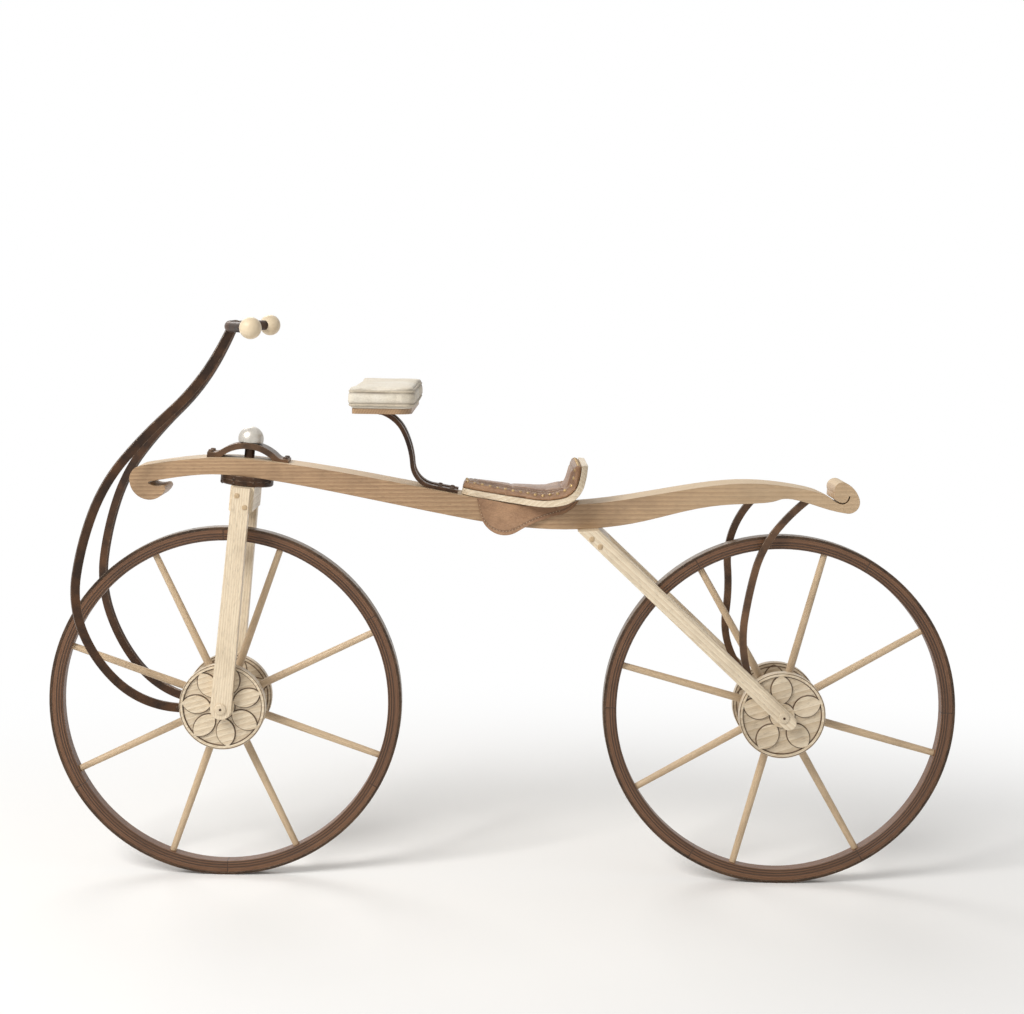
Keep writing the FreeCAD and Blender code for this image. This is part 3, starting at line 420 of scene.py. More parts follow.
def rim_look(end):
    """Rim ash cut into felloes: each has its own tone and grain, its joints are thin dark gaps, and
    fine lines are scribed round the sides."""
    look = Look(f"{end}_rim_ash", OILED)
    angle, reach, side = about_axle(look, end)
    felloes = FELLOE_COUNT / math.tau
    share = look.scaled(angle, felloes, 20 - FELLOE_JOINT_TURN[end] * felloes)
    number, along = look.maths("FLOOR", share), look.maths("FRACT", share)
    line = look.vector(look.times(angle, 0.33), look.scaled(number, 0.71, reach),
                       look.scaled(number, 0.37, side))
    wood, rough, grain, below = ash_parts(look, line, RIM_ASH, 0.0035, 0.46)
    own = look.node("TexWhiteNoise", {"W": number}, noise_dimensions="1D").outputs["Value"]
    wood = look.blend(look.times(own, 0.30), wood, RIM_ASH[1])
    gap = JOINT_HALF * felloes / RIM_MIDDLE
    cut = look.maths("ADD", look.band(along, 0.0, gap), look.band(along, 1.0, gap))
    for radius in RIM_LINES:
        cut = look.larger(cut, look.band(reach, radius, RIM_LINE_HALF))
    wood = look.blend(look.times(cut, 0.80), wood, RIM_CUT)
    height = look.maths("SUBTRACT", grain, look.times(cut, 4.0))
    return look.wear(wood, rough, look.relief(height, GRAIN_RELIEF, below))


def forged_iron(name, tones, bare, roughness=0.42, seed=0.0, wheel=None):
    """Blacked forged iron: a hammered surface of shallow dents, brown wear in patches, fine pits, and bare
    metal along the edges. On a wheel's tyre the tread is scoured bare as well. Its tones are dark and worn."""
    look = Look(name, {"Metallic": 0.55})
    spot = look.stretched(look.place, (1, 1, 1), (seed, seed, seed))
    patch = look.noise(spot, 16.0, 6.0, 0.65)
    pits = look.noise(spot, 900.0, 2.0)
    dents = look.noise(spot, 75.0, 2.0, 0.45)
    colour = look.blend(look.ramp(patch, (0.40, 0.0), (0.68, 1.0)), *tones)
    scuffs = look.ramp(look.noise(spot, 140.0, 4.0, 0.6), (0.38, 0.15), (0.62, 1.0))
    rubbed = look.times(look.edges(EDGE_WEAR), look.times(scuffs, 0.8))
    if wheel:
        tread = look.fade(about_axle(look, wheel)[1], TREAD_START, TREAD_START + 0.001)
        rubbed = look.larger(rubbed, look.times(tread, look.scaled(scuffs, 0.35, 0.45)))
    rough = look.scaled(patch, 0.30, look.scaled(pits, 0.10, roughness - 0.17))
    ridge = look.relief(dents, 0.0009, look.eased(0.0010))
    return look.wear(look.blend(rubbed, colour, bare), look.scaled(rubbed, -0.16, rough),
                     look.relief(pits, 0.00008, ridge))


def smoothed(mesh):
    mesh.polygons.foreach_set("use_smooth", np.ones(len(mesh.polygons), dtype=bool))


def tidy(mesh):
    """Points that lie together are merged, which closes seams and poles, and faces are turned outwards."""
    work = bmesh.new()
    work.from_mesh(mesh)
    bmesh.ops.remove_doubles(work, verts=work.verts, dist=2e-6)
    bmesh.ops.dissolve_degenerate(work, edges=work.edges, dist=1e-7)
    bmesh.ops.recalc_face_normals(work, faces=work.faces)
    work.to_mesh(mesh)
    work.free()
    smoothed(mesh)
    mesh.set_sharp_from_angle(angle=SHARP_FROM)
    return mesh


def piece(made, look, body, instead_of=None):
    """Show an object as a piece of the machine: its look, the body that it rides on, its material slot
    and the CAD node that it stands for."""
    made.data.materials.clear()
    made.data.materials.append(look)
    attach(made, body)
    if instead_of:
        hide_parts(instead_of)
    return made


def grid_faces(rows, columns, close_rows=False, close_columns=False):
    """Quads of a grid of points, row by row, with the last row or column joined to the first if closed."""
    at = np.arange(rows * columns).reshape(rows, columns)
    at = np.pad(at, ((0, int(close_rows)), (0, int(close_columns))), mode="wrap")
    return np.stack([at[:-1, :-1], at[:-1, 1:], at[1:, 1:], at[1:, :-1]], axis=-1).reshape(-1, 4)


def turned_form(profile, sides, squareness=2.0):
    """A solid of revolution about +Z. Profile rows are (radius, height) from pole to pole; the section is
    the superellipse |x|^p + |y|^p = r^p, a circle at p = 2 and a rounded square at large p."""
    radius, height = np.transpose(profile)
    angle = np.arange(sides) * math.tau / sides
    wide = (np.abs(np.cos(angle)) ** squareness + np.abs(np.sin(angle)) ** squareness) ** (-1 / squareness)
    x, y = np.outer(radius, wide * np.cos(angle)), np.outer(radius, wide * np.sin(angle))
    z = np.broadcast_to(height[:, None], x.shape)
    return np.stack([x, y, z], axis=-1).reshape(-1, 3), grid_faces(*x.shape, close_columns=True)


def unit(vectors):
    return vectors / np.linalg.norm(vectors, axis=1, keepdims=True)


def copies(form, places, aims, leans=None):
    """One form at many places: its +Z turned to each aim and its +X towards each lean."""
    points, faces = form
    up = unit(aims)
    if leans is None:
        leans = np.where(np.abs(up[:, 1:2]) > 0.9, (1.0, 0.0, 0.0), (0.0, 1.0, 0.0))
    lean = unit(leans - up * (leans * up).sum(axis=1, keepdims=True))
    turns = np.stack([lean, np.cross(up, lean), up], axis=1)
    steps = (np.arange(len(up)) * len(points))[:, None, None]
    return points @ turns + np.asarray(places)[:, None], (faces + steps).reshape(-1, faces.shape[1])


def fasten(name, form, spots, look, body="frame"):
    """Copies of one form as one piece. Spots are its places, its outward directions and, if given, its leans."""
    piece(placed(name, tidy(as_mesh(name, *copies(form, *spots)))), look, body)


def dome(radius, height):
    """Profile of a domed head, a quarter ellipse, which starts a little below its seat."""
    bend = np.linspace(0, math.pi / 2, 7)
    return [(0, -0.0015), (radius, -0.0015)] + [(radius * math.cos(a), height * math.sin(a)) for a in bend]


NAIL_HEAD = turned_form([(0, -0.0010), (0.0045, -0.0010), (0.0045, 0.0001), (0.0040, 0.0005), (0, 0.0006)], 14)
black_iron = forged_iron("black_iron", BLACK_IRON, IRON_BARE)
tyre_iron = forged_iron("tyre_iron", TYRE_IRON, IRON_BARE, 0.45, 0.7)
brown_iron = forged_iron("brown_iron", BROWN_IRON, IRON_BARE, 0.40, 4.1)


def nail_wheel(end):
    """Countersunk nail heads in a row round the tread, sunk so that they stand level with the tyre."""
    low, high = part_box(f"{end}_tyre")
    angle = (np.arange(NAILS_A_WHEEL) + 0.5) * math.tau / NAILS_A_WHEEL + FELLOE_JOINT_TURN[end]
    outward = np.column_stack([np.cos(angle), 0 * angle, np.sin(angle)])
    offset = np.where(np.arange(NAILS_A_WHEEL) % 2, NAIL_OFFSET, -NAIL_OFFSET)[:, None] * (0, 1, 0)
    places = np.array(middle_of(f"{end}_axle")) + outward * ((high.x - low.x) / 2 - NAIL_SUNK) + offset
    fasten(f"{end}_tyre_nails", NAIL_HEAD, (places, outward), black_iron, f"{end}_wheel")


for end in ("front", "rear"):
    dress([f"{end}_felloe"], rim_look(end))
    dress([f"{end}_spokes"], spoke_ash(end))
    dress([f"{end}_nave"], oiled_ash(f"{end}_nave_elm", CROSS_GRAIN, RIM_ASH, 0.003))
    dress([f"{end}_tyre"], forged_iron(f"{end}_tread_iron", TYRE_IRON, ROAD_WORN, 0.45, 0.7, end))
    dress([f"{end}_nave_bands"], tyre_iron)
    nail_wheel(end)


# Boss plates: turned ash plates fixed on the axles, each with a raised ring and carved petals. The
# carving's corners hold dark stain. A turned ash cap over each axle end is held by one iron pin.
PLATE_ASH = (0.84, 0.735, 0.570), (0.60, 0.465, 0.305)
PLATE_STAIN = (0.085, 0.040, 0.016)
PLATE_GRAIN = (1.0, 0.0, 0.3)
PETALS = {"front": (7, math.radians(21), 0.035), "rear": (5, math.radians(21), 0.040)}  # count, turn, width
PETAL_ENDS = (0.023, 0.079)  # from the plate's centre to a petal's two points
RING_INNER = 0.078
BOSS_OUTER = 0.024
LINE_HALF = 0.0009
RIM_LINE = 0.0832  # a line turned in the raised ring, near the plate's edge
GROUND_DEPTH = 0.0550  # the carving's height from the middle plane, halfway down to its ground
CAP_HEIGHT = 0.0042
CAP_CLEAR = 0.016  # from the axle's middle to bare wood beside it
OUTSIDE = 0.3  # from the middle plane to a place beyond every piece
AXLE_CAP = turned_form([(0, -0.0005), (0.0115, -0.0005), (0.0115, 0.0012), (0.0110, 0.0024), (0.0098, 0.0032),
                        (0.0075, 0.0038), (0.0045, 0.0041), (0, CAP_HEIGHT)], 40)
PIN_HEAD = turned_form(dome(0.0026, 0.0009), 18)


def plate_look(end):
    """Plate ash with the stain left in the corners of the carving. With the angle folded to one petal, a
    petal's edge is where the distance to its arc's centre is the arc's radius, (h^2 + (w/2)^2) / w for a
    petal of half length h and width w; the ring and the boss have theirs at their own radius."""
    look = Look(f"{end}_plate_ash", OILED)
    line = look.turned_to(PLATE_GRAIN)
    wood, rough, grain, below = ash_parts(look, line, PLATE_ASH, roughness=0.44, seed=5.0)
    angle, reach, side = about_axle(look, end)
    count, first, width = PETALS[end]
    part = math.tau / count
    middle, half = sum(PETAL_ENDS) / 2, (PETAL_ENDS[1] - PETAL_ENDS[0]) / 2
    arc = (half ** 2 + (width / 2) ** 2) / width
    share = look.maths("FRACT", look.scaled(angle, 1 / part, 0.5 + count - first / part))
    folded = look.times(look.maths("ABSOLUTE", look.maths("SUBTRACT", share, 0.5)), part)
    along = look.scaled(look.maths("COSINE", folded), reach, -middle)
    across = look.scaled(look.maths("SINE", folded), reach, arc - width / 2)
    edge = look.band(look.length(look.vector(along, across)), arc + LINE_HALF, LINE_HALF)
    for radius in (RING_INNER - LINE_HALF, BOSS_OUTER + LINE_HALF):
        edge = look.larger(edge, look.band(reach, radius, LINE_HALF))
    ground = look.maths("LESS_THAN", look.maths("ABSOLUTE", side), GROUND_DEPTH)
    mottle = look.scaled(look.noise(look.place, 60.0), 0.5, 0.65)
    stain = look.times(look.larger(edge, 0.10), look.times(ground, mottle))
    stain = look.larger(stain, look.times(mottle, look.band(reach, RIM_LINE, 0.0005)))
    return look.wear(look.blend(stain, wood, PLATE_STAIN), rough, look.relief(grain, GRAIN_RELIEF, below))


for end in ("front", "rear"):
    dress(both(f"{end}_boss_plate"), plate_look(end))
dress(["front_axle", "rear_axle"], black_iron)
cap_ash = oiled_ash("cap_ash", CROSS_GRAIN, PLATE_ASH, 0.003, seed=5.0)


def cast(holder, starts, aims):
    """Which lines meet an object, where they first do, and its outward directions there."""
    met, places, normals, _ = zip(*(holder.ray_cast(Vector(start), Vector(aim)) for start, aim in zip(starts, aims)))
    return np.array(met), np.array(places), np.array(normals)


def seated(node, starts, aims):
    """Where lines meet a CAD node, and its outward directions there."""
    met, places, normals = cast(cad[node], starts, np.broadcast_to(aims, np.shape(starts)))
    if not met.all():
        raise RuntimeError(f"a line misses {node}")
    return places, normals


def seated_in(pair, spots):
    """Where lines in from the side, at places (x, z), meet both pieces of a pair."""
    return np.concatenate([seated(f"{pair}_{hand}", [(x, side * OUTSIDE, z) for x, z in spots], (0, -side, 0))
                           for hand, side in SIDES], axis=1)


def cap_axle(end, body, plank):
    """At each end of an axle, a turned cap on the plank's face that covers the axle, and a pin's head."""
    axle = middle_of(f"{end}_axle")
    places, _ = seated_in(plank, [(axle.x + CAP_CLEAR, axle.z)])
    places[:, 0] = axle.x
    aims = np.array([(0, side, 0) for _, side in SIDES])
    fasten(f"{end}_axle_caps", AXLE_CAP, (places, aims), cap_ash, body)
    fasten(f"{end}_axle_pins", PIN_HEAD, (places + CAP_HEIGHT * aims, aims), black_iron, body)


cap_axle("front", "steering", "fork_leg")
cap_axle("rear", "frame", "rear_strut")


# Front fork: two ash planks pinned to a crown block, under two round iron turning plates. The spindle
# runs up through the perch and through a forged bridge bolted on top of it, and ends in a turned ball.
PLANK_ASH = (0.89, 0.785, 0.610), (0.66, 0.515, 0.345)
LEG_RAKE = math.radians(5.0)
LEG_GRAIN = (math.sin(LEG_RAKE), 0.0, math.cos(LEG_RAKE))
PEG_OAK = (0.66, 0.50, 0.31), (0.42, 0.28, 0.15)
BRIGHT_IRON = (0.64, 0.61, 0.56), (0.46, 0.42, 0.36)
CROWN_PEGS = ((-0.006, 0.012), (0.009, -0.011))  # places (x, z) from the crown's middle
FOOT_BOLT = 0.0066  # from the end of the bridge's foot
FOOT_BOLT_SIDE = 0.014
STUD_COUNT = 8
PEG_HEAD = turned_form([(0, -0.0015), (0.0050, -0.0015), (0.0050, 0.0006), (0.0043, 0.0012), (0, 0.0014)], 20, 3.0)
BOLT_HEAD = turned_form([(0, -0.0012), (0.0046, -0.0012), (0.0046, 0.0034), (0.0042, 0.0039), (0.0022, 0.0044),
                         (0, 0.0045)], 28, 8.0)
BOLT_WASHER = turned_form([(0, -0.0010), (0.0062, -0.0010), (0.0062, 0.0006), (0.0058, 0.0010), (0, 0.0011)], 24)
RIVET_HEAD = turned_form(dome(0.0050, 0.0026), 18)
SMALL_RIVET = turned_form(dome(0.0034, 0.0017), 14)

dress(both("fork_leg"), oiled_ash("leg_ash", LEG_GRAIN, PLANK_ASH))
cross_ash = oiled_ash("cross_ash", CROSS_GRAIN, PLANK_ASH, seed=3.0)
peg_oak = oiled_ash("peg_oak", CROSS_GRAIN, PEG_OAK, 0.0018, 6.0)
dress(["fork_crown"], cross_ash)
dress(["upper_turning_plate", "lower_turning_plate", "spindle"], black_iron)
dress(["spindle_bridge"], brown_iron)
dress(["spindle_knob"], forged_iron("bright_iron", BRIGHT_IRON, BRIGHT_IRON[0], 0.36, 1.9))


def peg_planks(name, plank, block, steps, body):
    """Pegs through each plank of a pair into the block between them, at steps (x, z) from its middle."""
    middle = middle_of(block)
    spots = seated_in(plank, [(middle.x + east, middle.z + up) for east, up in steps])
    fasten(name, PEG_HEAD, spots, peg_oak, body)


def bolt_bridge():
    """Two bolts with washers through each foot of the bridge."""
    low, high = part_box("spindle_bridge")
    starts = [(x, y, high.z + 0.05) for x in (low.x + FOOT_BOLT, high.x - FOOT_BOLT)
              for y in (-FOOT_BOLT_SIDE, FOOT_BOLT_SIDE)]
    feet = seated("spindle_bridge", starts, (0, 0, -1))
    fasten("bridge_bolts", BOLT_HEAD, feet, tyre_iron)
    fasten("bridge_washers", BOLT_WASHER, feet, black_iron)


def stud_plate(name, node, body):
    """Studs at even turns round the rim of a turning plate."""
    angle = (np.arange(STUD_COUNT) + 0.5) * math.tau / STUD_COUNT
    outward = np.column_stack([np.cos(angle), np.sin(angle), 0 * angle])
    spots = seated(node, np.array(middle_of(node)) + 0.2 * outward, -outward)
    fasten(name, SMALL_RIVET, spots, tyre_iron, body)


peg_planks("crown_pegs", "fork_leg", "fork_crown", CROWN_PEGS, "steering")
bolt_bridge()
stud_plate("upper_plate_rivets", "upper_turning_plate", "frame")
stud_plate("lower_plate_rivets", "lower_turning_plate", "steering")


# Steering arms and handlebar: two forged bars rise from the front boss plates, sweep forward and up, and
# carry a bent round bar with a turned boxwood ball at each end. Collars hold the bar, and a rivet holds each arm's
# foot to its plate.
BOXWOOD = (0.88, 0.765, 0.570), (0.68, 0.520, 0.330)
ARM_FOOT = 0.016  # the length of an arm's foot, which lies nearest to the axle
BAR_RADIUS = 0.010
COLLAR_PLACES = (-0.031, 0.0, 0.031)
COLLAR_WIDTH = 0.009
COLLAR_THICK = 0.0016

dress(both("steering_arm") + ["handle_crossbar"], black_iron)
dress(both("handle_knob"), oiled_ash("knob_box", CROSS_GRAIN, BOXWOOD, 0.0025))


def each_point(mesh, key="co"):
    """The places of a mesh's points, or their normals."""
    values = np.empty(len(mesh.vertices) * 3)
    mesh.vertices.foreach_get(key, values)
    return values.reshape(-1, 3)


def arm_rivets():
    """A rivet on each arm's foot, where it is let into the rim of the carved plate."""
    axle = middle_of("front_axle")
    for hand, side in SIDES:
        node = f"steering_arm_{hand}"
        points = each_point(cad[node].data)
        away = np.hypot(points[:, 0] - axle.x, points[:, 2] - axle.z)
        east, _, up = points[away < away.min() + ARM_FOOT].mean(axis=0)
        spots = seated(node, [(east, side * OUTSIDE, up)], (0, -side, 0))
        fasten(f"arm_foot_rivet_{hand}", RIVET_HEAD, spots, tyre_iron, "steering")


def bar_collars():
    """Iron collars shrunk on the bar, one on each side of the arms' ends and one between them. The bar's
    direction at each comes from two places a little apart on its front."""
    low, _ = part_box("handle_crossbar")
    places, aims = [], []
    for y in COLLAR_PLACES:
        starts = [(low.x - 0.1, y + step, low.z + BAR_RADIUS) for step in (-0.004, 0.004)]
        front, _ = seated("handle_crossbar", starts, (1, 0, 0))
        along = (front[1] - front[0]) / np.linalg.norm(front[1] - front[0])
        places.append(front.mean(axis=0) + BAR_RADIUS * np.array((along[1], -along[0], 0)))
        aims.append(along)
    half, thick = COLLAR_WIDTH / 2, COLLAR_THICK
    inner, brow, outer = BAR_RADIUS - 0.001, BAR_RADIUS + 0.6 * thick, BAR_RADIUS + thick
    ring = turned_form([(inner, -half), (brow, -half), (outer, 0.3 * thick - half), (outer, half - 0.3 * thick),
                        (brow, half), (inner, half), (inner, -half)], 40)
    fasten("bar_collars", ring, (places, aims), tyre_iron, "steering")


arm_rivets()
bar_collars()


# Rear carriage: two straight ash struts and a bolster between their tops, pinned together, and two bent
# iron stays from the perch's underside down to the rear boss plates, which they are let into.
low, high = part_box("rear_strut_left")
STRUT_GRAIN = (high.x - low.x, 0.0, low.z - high.z)
down = Vector(STRUT_GRAIN).normalized()
BOLSTER_PEGS = [(step * down.x, step * down.z) for step in (-0.008, 0.014)]

dress(both("rear_strut"), oiled_ash("strut_ash", STRUT_GRAIN, PLANK_ASH, seed=2.0))
dress(["rear_bolster"], cross_ash)
dress(both("rear_stay"), brown_iron)
peg_planks("bolster_pegs", "rear_strut", "rear_bolster", BOLSTER_PEGS, "frame")


# Saddle: an ash tree cut to the perch, with a stuffed cowhide seat nailed round its edge and a hide flap
# down each side. The seat is sewn in two rows, and it is darker and smoother in its hollow.
HIDE = (0.50, 0.290, 0.155), (0.225, 0.110, 0.052)
HIDE_EDGE = (0.075, 0.033, 0.014)
THREAD_TWIST = (0.35, (0.52, 0.40, 0.25)), (0.65, (0.70, 0.58, 0.40))
BRASS = (0.46, 0.31, 0.13), (0.27, 0.17, 0.08)
TREE_GRAIN = (1.0, 0.0, 0.0)
STUFFING = 4.0  # pressure of the simulated stuffing
STUFFING_FRAMES = 20
SEAT_VOXEL = 0.0042
SEAT_MOST = 0.0075  # the furthest that the stuffing pushes the hide out
SEAT_HELD = 0.0012  # the hide is held where it lies this near to the tree
SEAT_WORN = (-0.02, 0.0, 0.0)  # the middle of the polished hollow
SEAM_DEPTH = 0.0022
SEAM_HALF = 0.0032
SEAT_SEAMS = (0.0125, 0.0205)  # the sewn rows' distances from the seat's edge
NAIL_ROW = 0.0050
NAIL_STEP = 0.0155
STITCH_STEP = 0.0062
SEAT_EYE = (-0.03, 0.12)  # a place (x, z) from which all of the seat's upper side is seen
SEAT_TURNS = (-60, 75, 0.5)  # the first and last turn of the lines from it and their step, in degrees
SEAT_WIDEST = 0.12  # from the middle plane to a place beyond the seat
FLAP_THICK = 0.0040
FLAP_FLARE = 0.0085  # how far a flap's lower edge stands off its top's plane
FLAP_BORDER = 0.0075


def hide(name, tones, sewn=True, rubbed=None, seed=0.0, matt=0.36):
    """Oiled cowhide: small pebbled cells, fine creases, a mottled dye that is darker in sewn grooves and
    near nails, and a smoother, darker shine where it is rubbed, about a given place."""
    dark = tones[1]
    look = Look(name, {"Sheen Weight": 0.08, "Sheen Roughness": 0.45})
    spot = look.stretched(look.place, (1, 1, 1), (seed, 0.4 * seed, 0))
    cell = look.node("TexVoronoi", {"Vector": spot, "Scale": 620.0, "Randomness": 0.9},
                     feature="DISTANCE_TO_EDGE").outputs["Distance"]
    pebble = look.ramp(cell, (0.0, 0.0), (0.28, 1.0))
    crease = look.noise(look.stretched(spot, (1.0, 2.2, 1.6)), 55.0, 6.0, 0.62)
    cracks = look.ramp(crease, (0.46, 1.0), (0.50, 0.0), (0.54, 1.0))
    dye = look.noise(spot, 13.0, 5.0, 0.6)
    colour = look.blend(look.ramp(dye, (0.34, 0.0), (0.70, 1.0)), *tones)
    colour = look.blend(look.scaled(pebble, -0.35, 0.35), colour, shade(dark, 0.45))
    colour = look.blend(look.scaled(cracks, -0.25, 0.25), colour, shade(dark, 0.55))
    rough = look.scaled(dye, 0.20, matt)
    if rubbed:
        away = look.length(look.stretched(look.place, (1.0, 1.3, 0.6), shade(rubbed, -1)))
        shine = look.fade(away, 0.02, 0.11, 1.0, 0.0)
        colour = look.blend(look.times(shine, 0.45), colour, dark)
        rough = look.scaled(shine, -0.12, rough)
    if sewn:
        groove = look.node("Attribute", attribute_name="seam").outputs["Fac"]
        colour = look.blend(look.times(groove, 0.75), colour, HIDE_EDGE)
    height = look.scaled(pebble, 0.6, look.times(cracks, 0.4))
    return look.wear(colour, rough, look.relief(height, 0.00035))


def twine():
    """Waxed linen thread: pale and matt, with the twist's dark lines across it."""
    look = Look("waxed_linen")
    strand = look.noise(look.stretched(look.place, (900, 900, 900)), 1.0)
    return look.wear(look.ramp(strand, *THREAD_TWIST), 0.72, look.relief(strand, 0.0001))


def applied(holder):
    """The mesh that an object's modifiers give takes its mesh's place, and the modifiers go."""
    scene = bpy.context.evaluated_depsgraph_get()
    mesh = bpy.data.meshes.new_from_object(holder.evaluated_get(scene), depsgraph=scene)
    holder.modifiers.clear()
    holder.data = mesh


def blown(pad):
    """Blow a piece up as cloth, without gravity, while the points of its group "bed" are held."""
    cloth = pad.modifiers.new("stuffing", "CLOTH")
    cloth.settings.use_pressure = True
    cloth.settings.uniform_pressure_force = STUFFING
    cloth.settings.vertex_group_mass = "bed"
    cloth.settings.tension_stiffness = 20
    cloth.settings.compression_stiffness = 20
    cloth.settings.bending_stiffness = 0.6
    cloth.settings.effector_weights.gravity = 0
    cloth.point_cache.frame_end = STUFFING_FRAMES
    for step in range(1, STUFFING_FRAMES + 1):
        bpy.context.scene.frame_set(step)
    applied(pad)
    bpy.context.scene.frame_set(1)


def swell(name, node, bed, held, most, voxel):
    """Stuffing by simulation: a merged copy of a CAD node is remeshed, held where it lies on its bed and
    blown up, and no point ends more than the given distance from where it began."""
    work = bmesh.new()
    work.from_mesh(cad[bed].data)
    table = BVHTree.FromBMesh(work)
    work.clear()
    work.from_mesh(cad[node].data)
    bmesh.ops.remove_doubles(work, verts=work.verts, dist=1e-5)
    mesh = bpy.data.meshes.new(name)
    work.to_mesh(mesh)
    work.free()
    pad = placed(name, mesh)
    remesh = pad.modifiers.new("remesh", "REMESH")
    remesh.mode = "VOXEL"
    remesh.voxel_size = voxel
    applied(pad)
    start = each_point(pad.data)
    gaps = np.array([table.find_nearest(Vector(place))[3] for place in start])
    pad.vertex_groups.new(name="bed").add(np.flatnonzero(gaps < held).tolist(), 1.0, "REPLACE")
    blown(pad)
    moved = each_point(pad.data) - start
    reach = np.linalg.norm(moved, axis=1, keepdims=True)
    eased = most * np.tanh(reach / most)
    points = start + moved * np.divide(eased, reach, out=np.zeros_like(reach), where=reach > 1e-9)
    pad.data.vertices.foreach_set("co", points.ravel())
    smooth = pad.modifiers.new("finer", "SUBSURF")
    smooth.levels = smooth.render_levels = 1
    applied(pad)
    pad.vertex_groups.clear()
    return pad


def run_along(points):
    """The length along a line of points, from its first to each."""
    return np.concatenate([[0], np.cumsum(np.linalg.norm(np.diff(points, axis=0), axis=1))])


def walked(points, at):
    """The places at given lengths along a line of points."""
    return np.column_stack([np.interp(at, run_along(points), points[:, axis]) for axis in range(3)])


def even_ring(points, step):
    """A closed line of points at even steps along it, and its direction at each."""
    loop = np.vstack([points, points[:1]])
    whole = run_along(loop)[-1]
    count = max(8, int(round(whole / step)))
    even = walked(loop, np.arange(count) * whole / count)
    ahead = np.roll(even, -1, axis=0) - np.roll(even, 1, axis=0)
    return even, unit(ahead)


def seen(holder, turns, across):
    """Where lines from the seat's eye meet a piece: rays in planes square to Y, each at its own Y, turned
    by an angle from straight down towards the tail."""
    starts = np.column_stack([np.full(len(turns), SEAT_EYE[0]), across, np.full(len(turns), SEAT_EYE[1])])
    return cast(holder, starts, np.column_stack([np.sin(turns), 0 * turns, -np.cos(turns)]))


def turn_of(points):
    """The angle at the seat's eye from straight down to each point, towards the tail."""
    return np.arctan2(points[:, 0] - SEAT_EYE[0], SEAT_EYE[1] - points[:, 2])


def seat_edge(seat):
    """The seat unrolled: the length along its middle for each turn, and its edge as a closed line of
    (length, y), found at each turn by halving the widest line that still meets the seat."""
    turns = np.radians(np.arange(*SEAT_TURNS))
    met, places, _ = seen(seat, turns, 0 * turns)
    turns, run = turns[met], run_along(places[met])
    edges = []
    for side in (1, -1):
        near, far = 0 * turns, 0 * turns + SEAT_WIDEST
        for _ in range(11):
            middle = (near + far) / 2
            met, _, _ = seen(seat, turns, side * middle)
            near, far = np.where(met, middle, near), np.where(met, far, middle)
        even = np.convolve(np.pad(near, 3, mode="edge"), np.full(7, 1 / 7), mode="valid")
        edges.append(np.column_stack([run, side * even, 0 * run]))
    ring, ahead = even_ring(np.vstack([edges[0], edges[1][::-1]]), 0.0012)
    return turns, run, ring, ahead


def row_inside(seat, edge, inset, step):
    """Places at even steps along the line that runs inside the seat's edge at one distance from it, with
    the seat's outward directions there and the line's own direction."""
    turns, run, ring, ahead = edge
    inward = np.column_stack([ahead[:, 1], -ahead[:, 0], 0 * ahead[:, 0]])
    moved = ring + inset * inward
    gap = np.array([np.hypot(*(ring - place)[:, :2].T).min() for place in moved])
    moved = moved[gap > inset - 0.0006]
    _, places, _ = seen(seat, np.interp(moved[:, 0], run, turns), moved[:, 1])
    even, along = even_ring(places, step)
    _, places, normals = seen(seat, turn_of(even), even[:, 1])
    return places, normals, along


def stitch_form(length, thick):
    """One stitch: a spindle along +X, thick in the middle, whose ends dive into the hide."""
    along = np.linspace(-1, 1, 6)
    wide = np.sqrt(np.maximum(0, 1 - along ** 2))
    points, faces = turned_form(np.column_stack([wide * thick / 2, along * length / 2]), 6)
    points = points[:, [2, 1, 0]]
    points[:, 2] -= 0.25 * thick + 0.55 * thick * (points[:, 0] / (length / 2)) ** 2
    return points, faces


def bell(away, half):
    return np.exp(-(away / half) ** 2)


def marked(mesh, amount):
    """Keep an amount at each point, which darkens the hide there."""
    mesh.attributes.new("seam", "FLOAT", "POINT").data.foreach_set("value", amount.astype(np.float32).ravel())


def grooved(mesh, amount, depth):
    """Points pushed in along their normals by a depth times an amount, which is kept for the colour."""
    points = each_point(mesh) - each_point(mesh, "normal") * (depth * amount)[:, None]
    mesh.vertices.foreach_set("co", points.ravel())
    marked(mesh, amount)
    mesh.update()
    smoothed(mesh)


STITCH = stitch_form(0.0046, 0.0013)
TACK = turned_form(dome(0.0034, 0.0017), 12)
seat_hide = hide("seat_hide", HIDE, rubbed=SEAT_WORN)
flap_hide = hide("flap_hide", HIDE, seed=3.0)
linen = twine()
tack_brass = forged_iron("tack_brass", BRASS, BRASS[0], 0.34, 2.7)
dress(["saddle_tree"], oiled_ash("tree_ash", TREE_GRAIN, PLANK_ASH, seed=4.0))


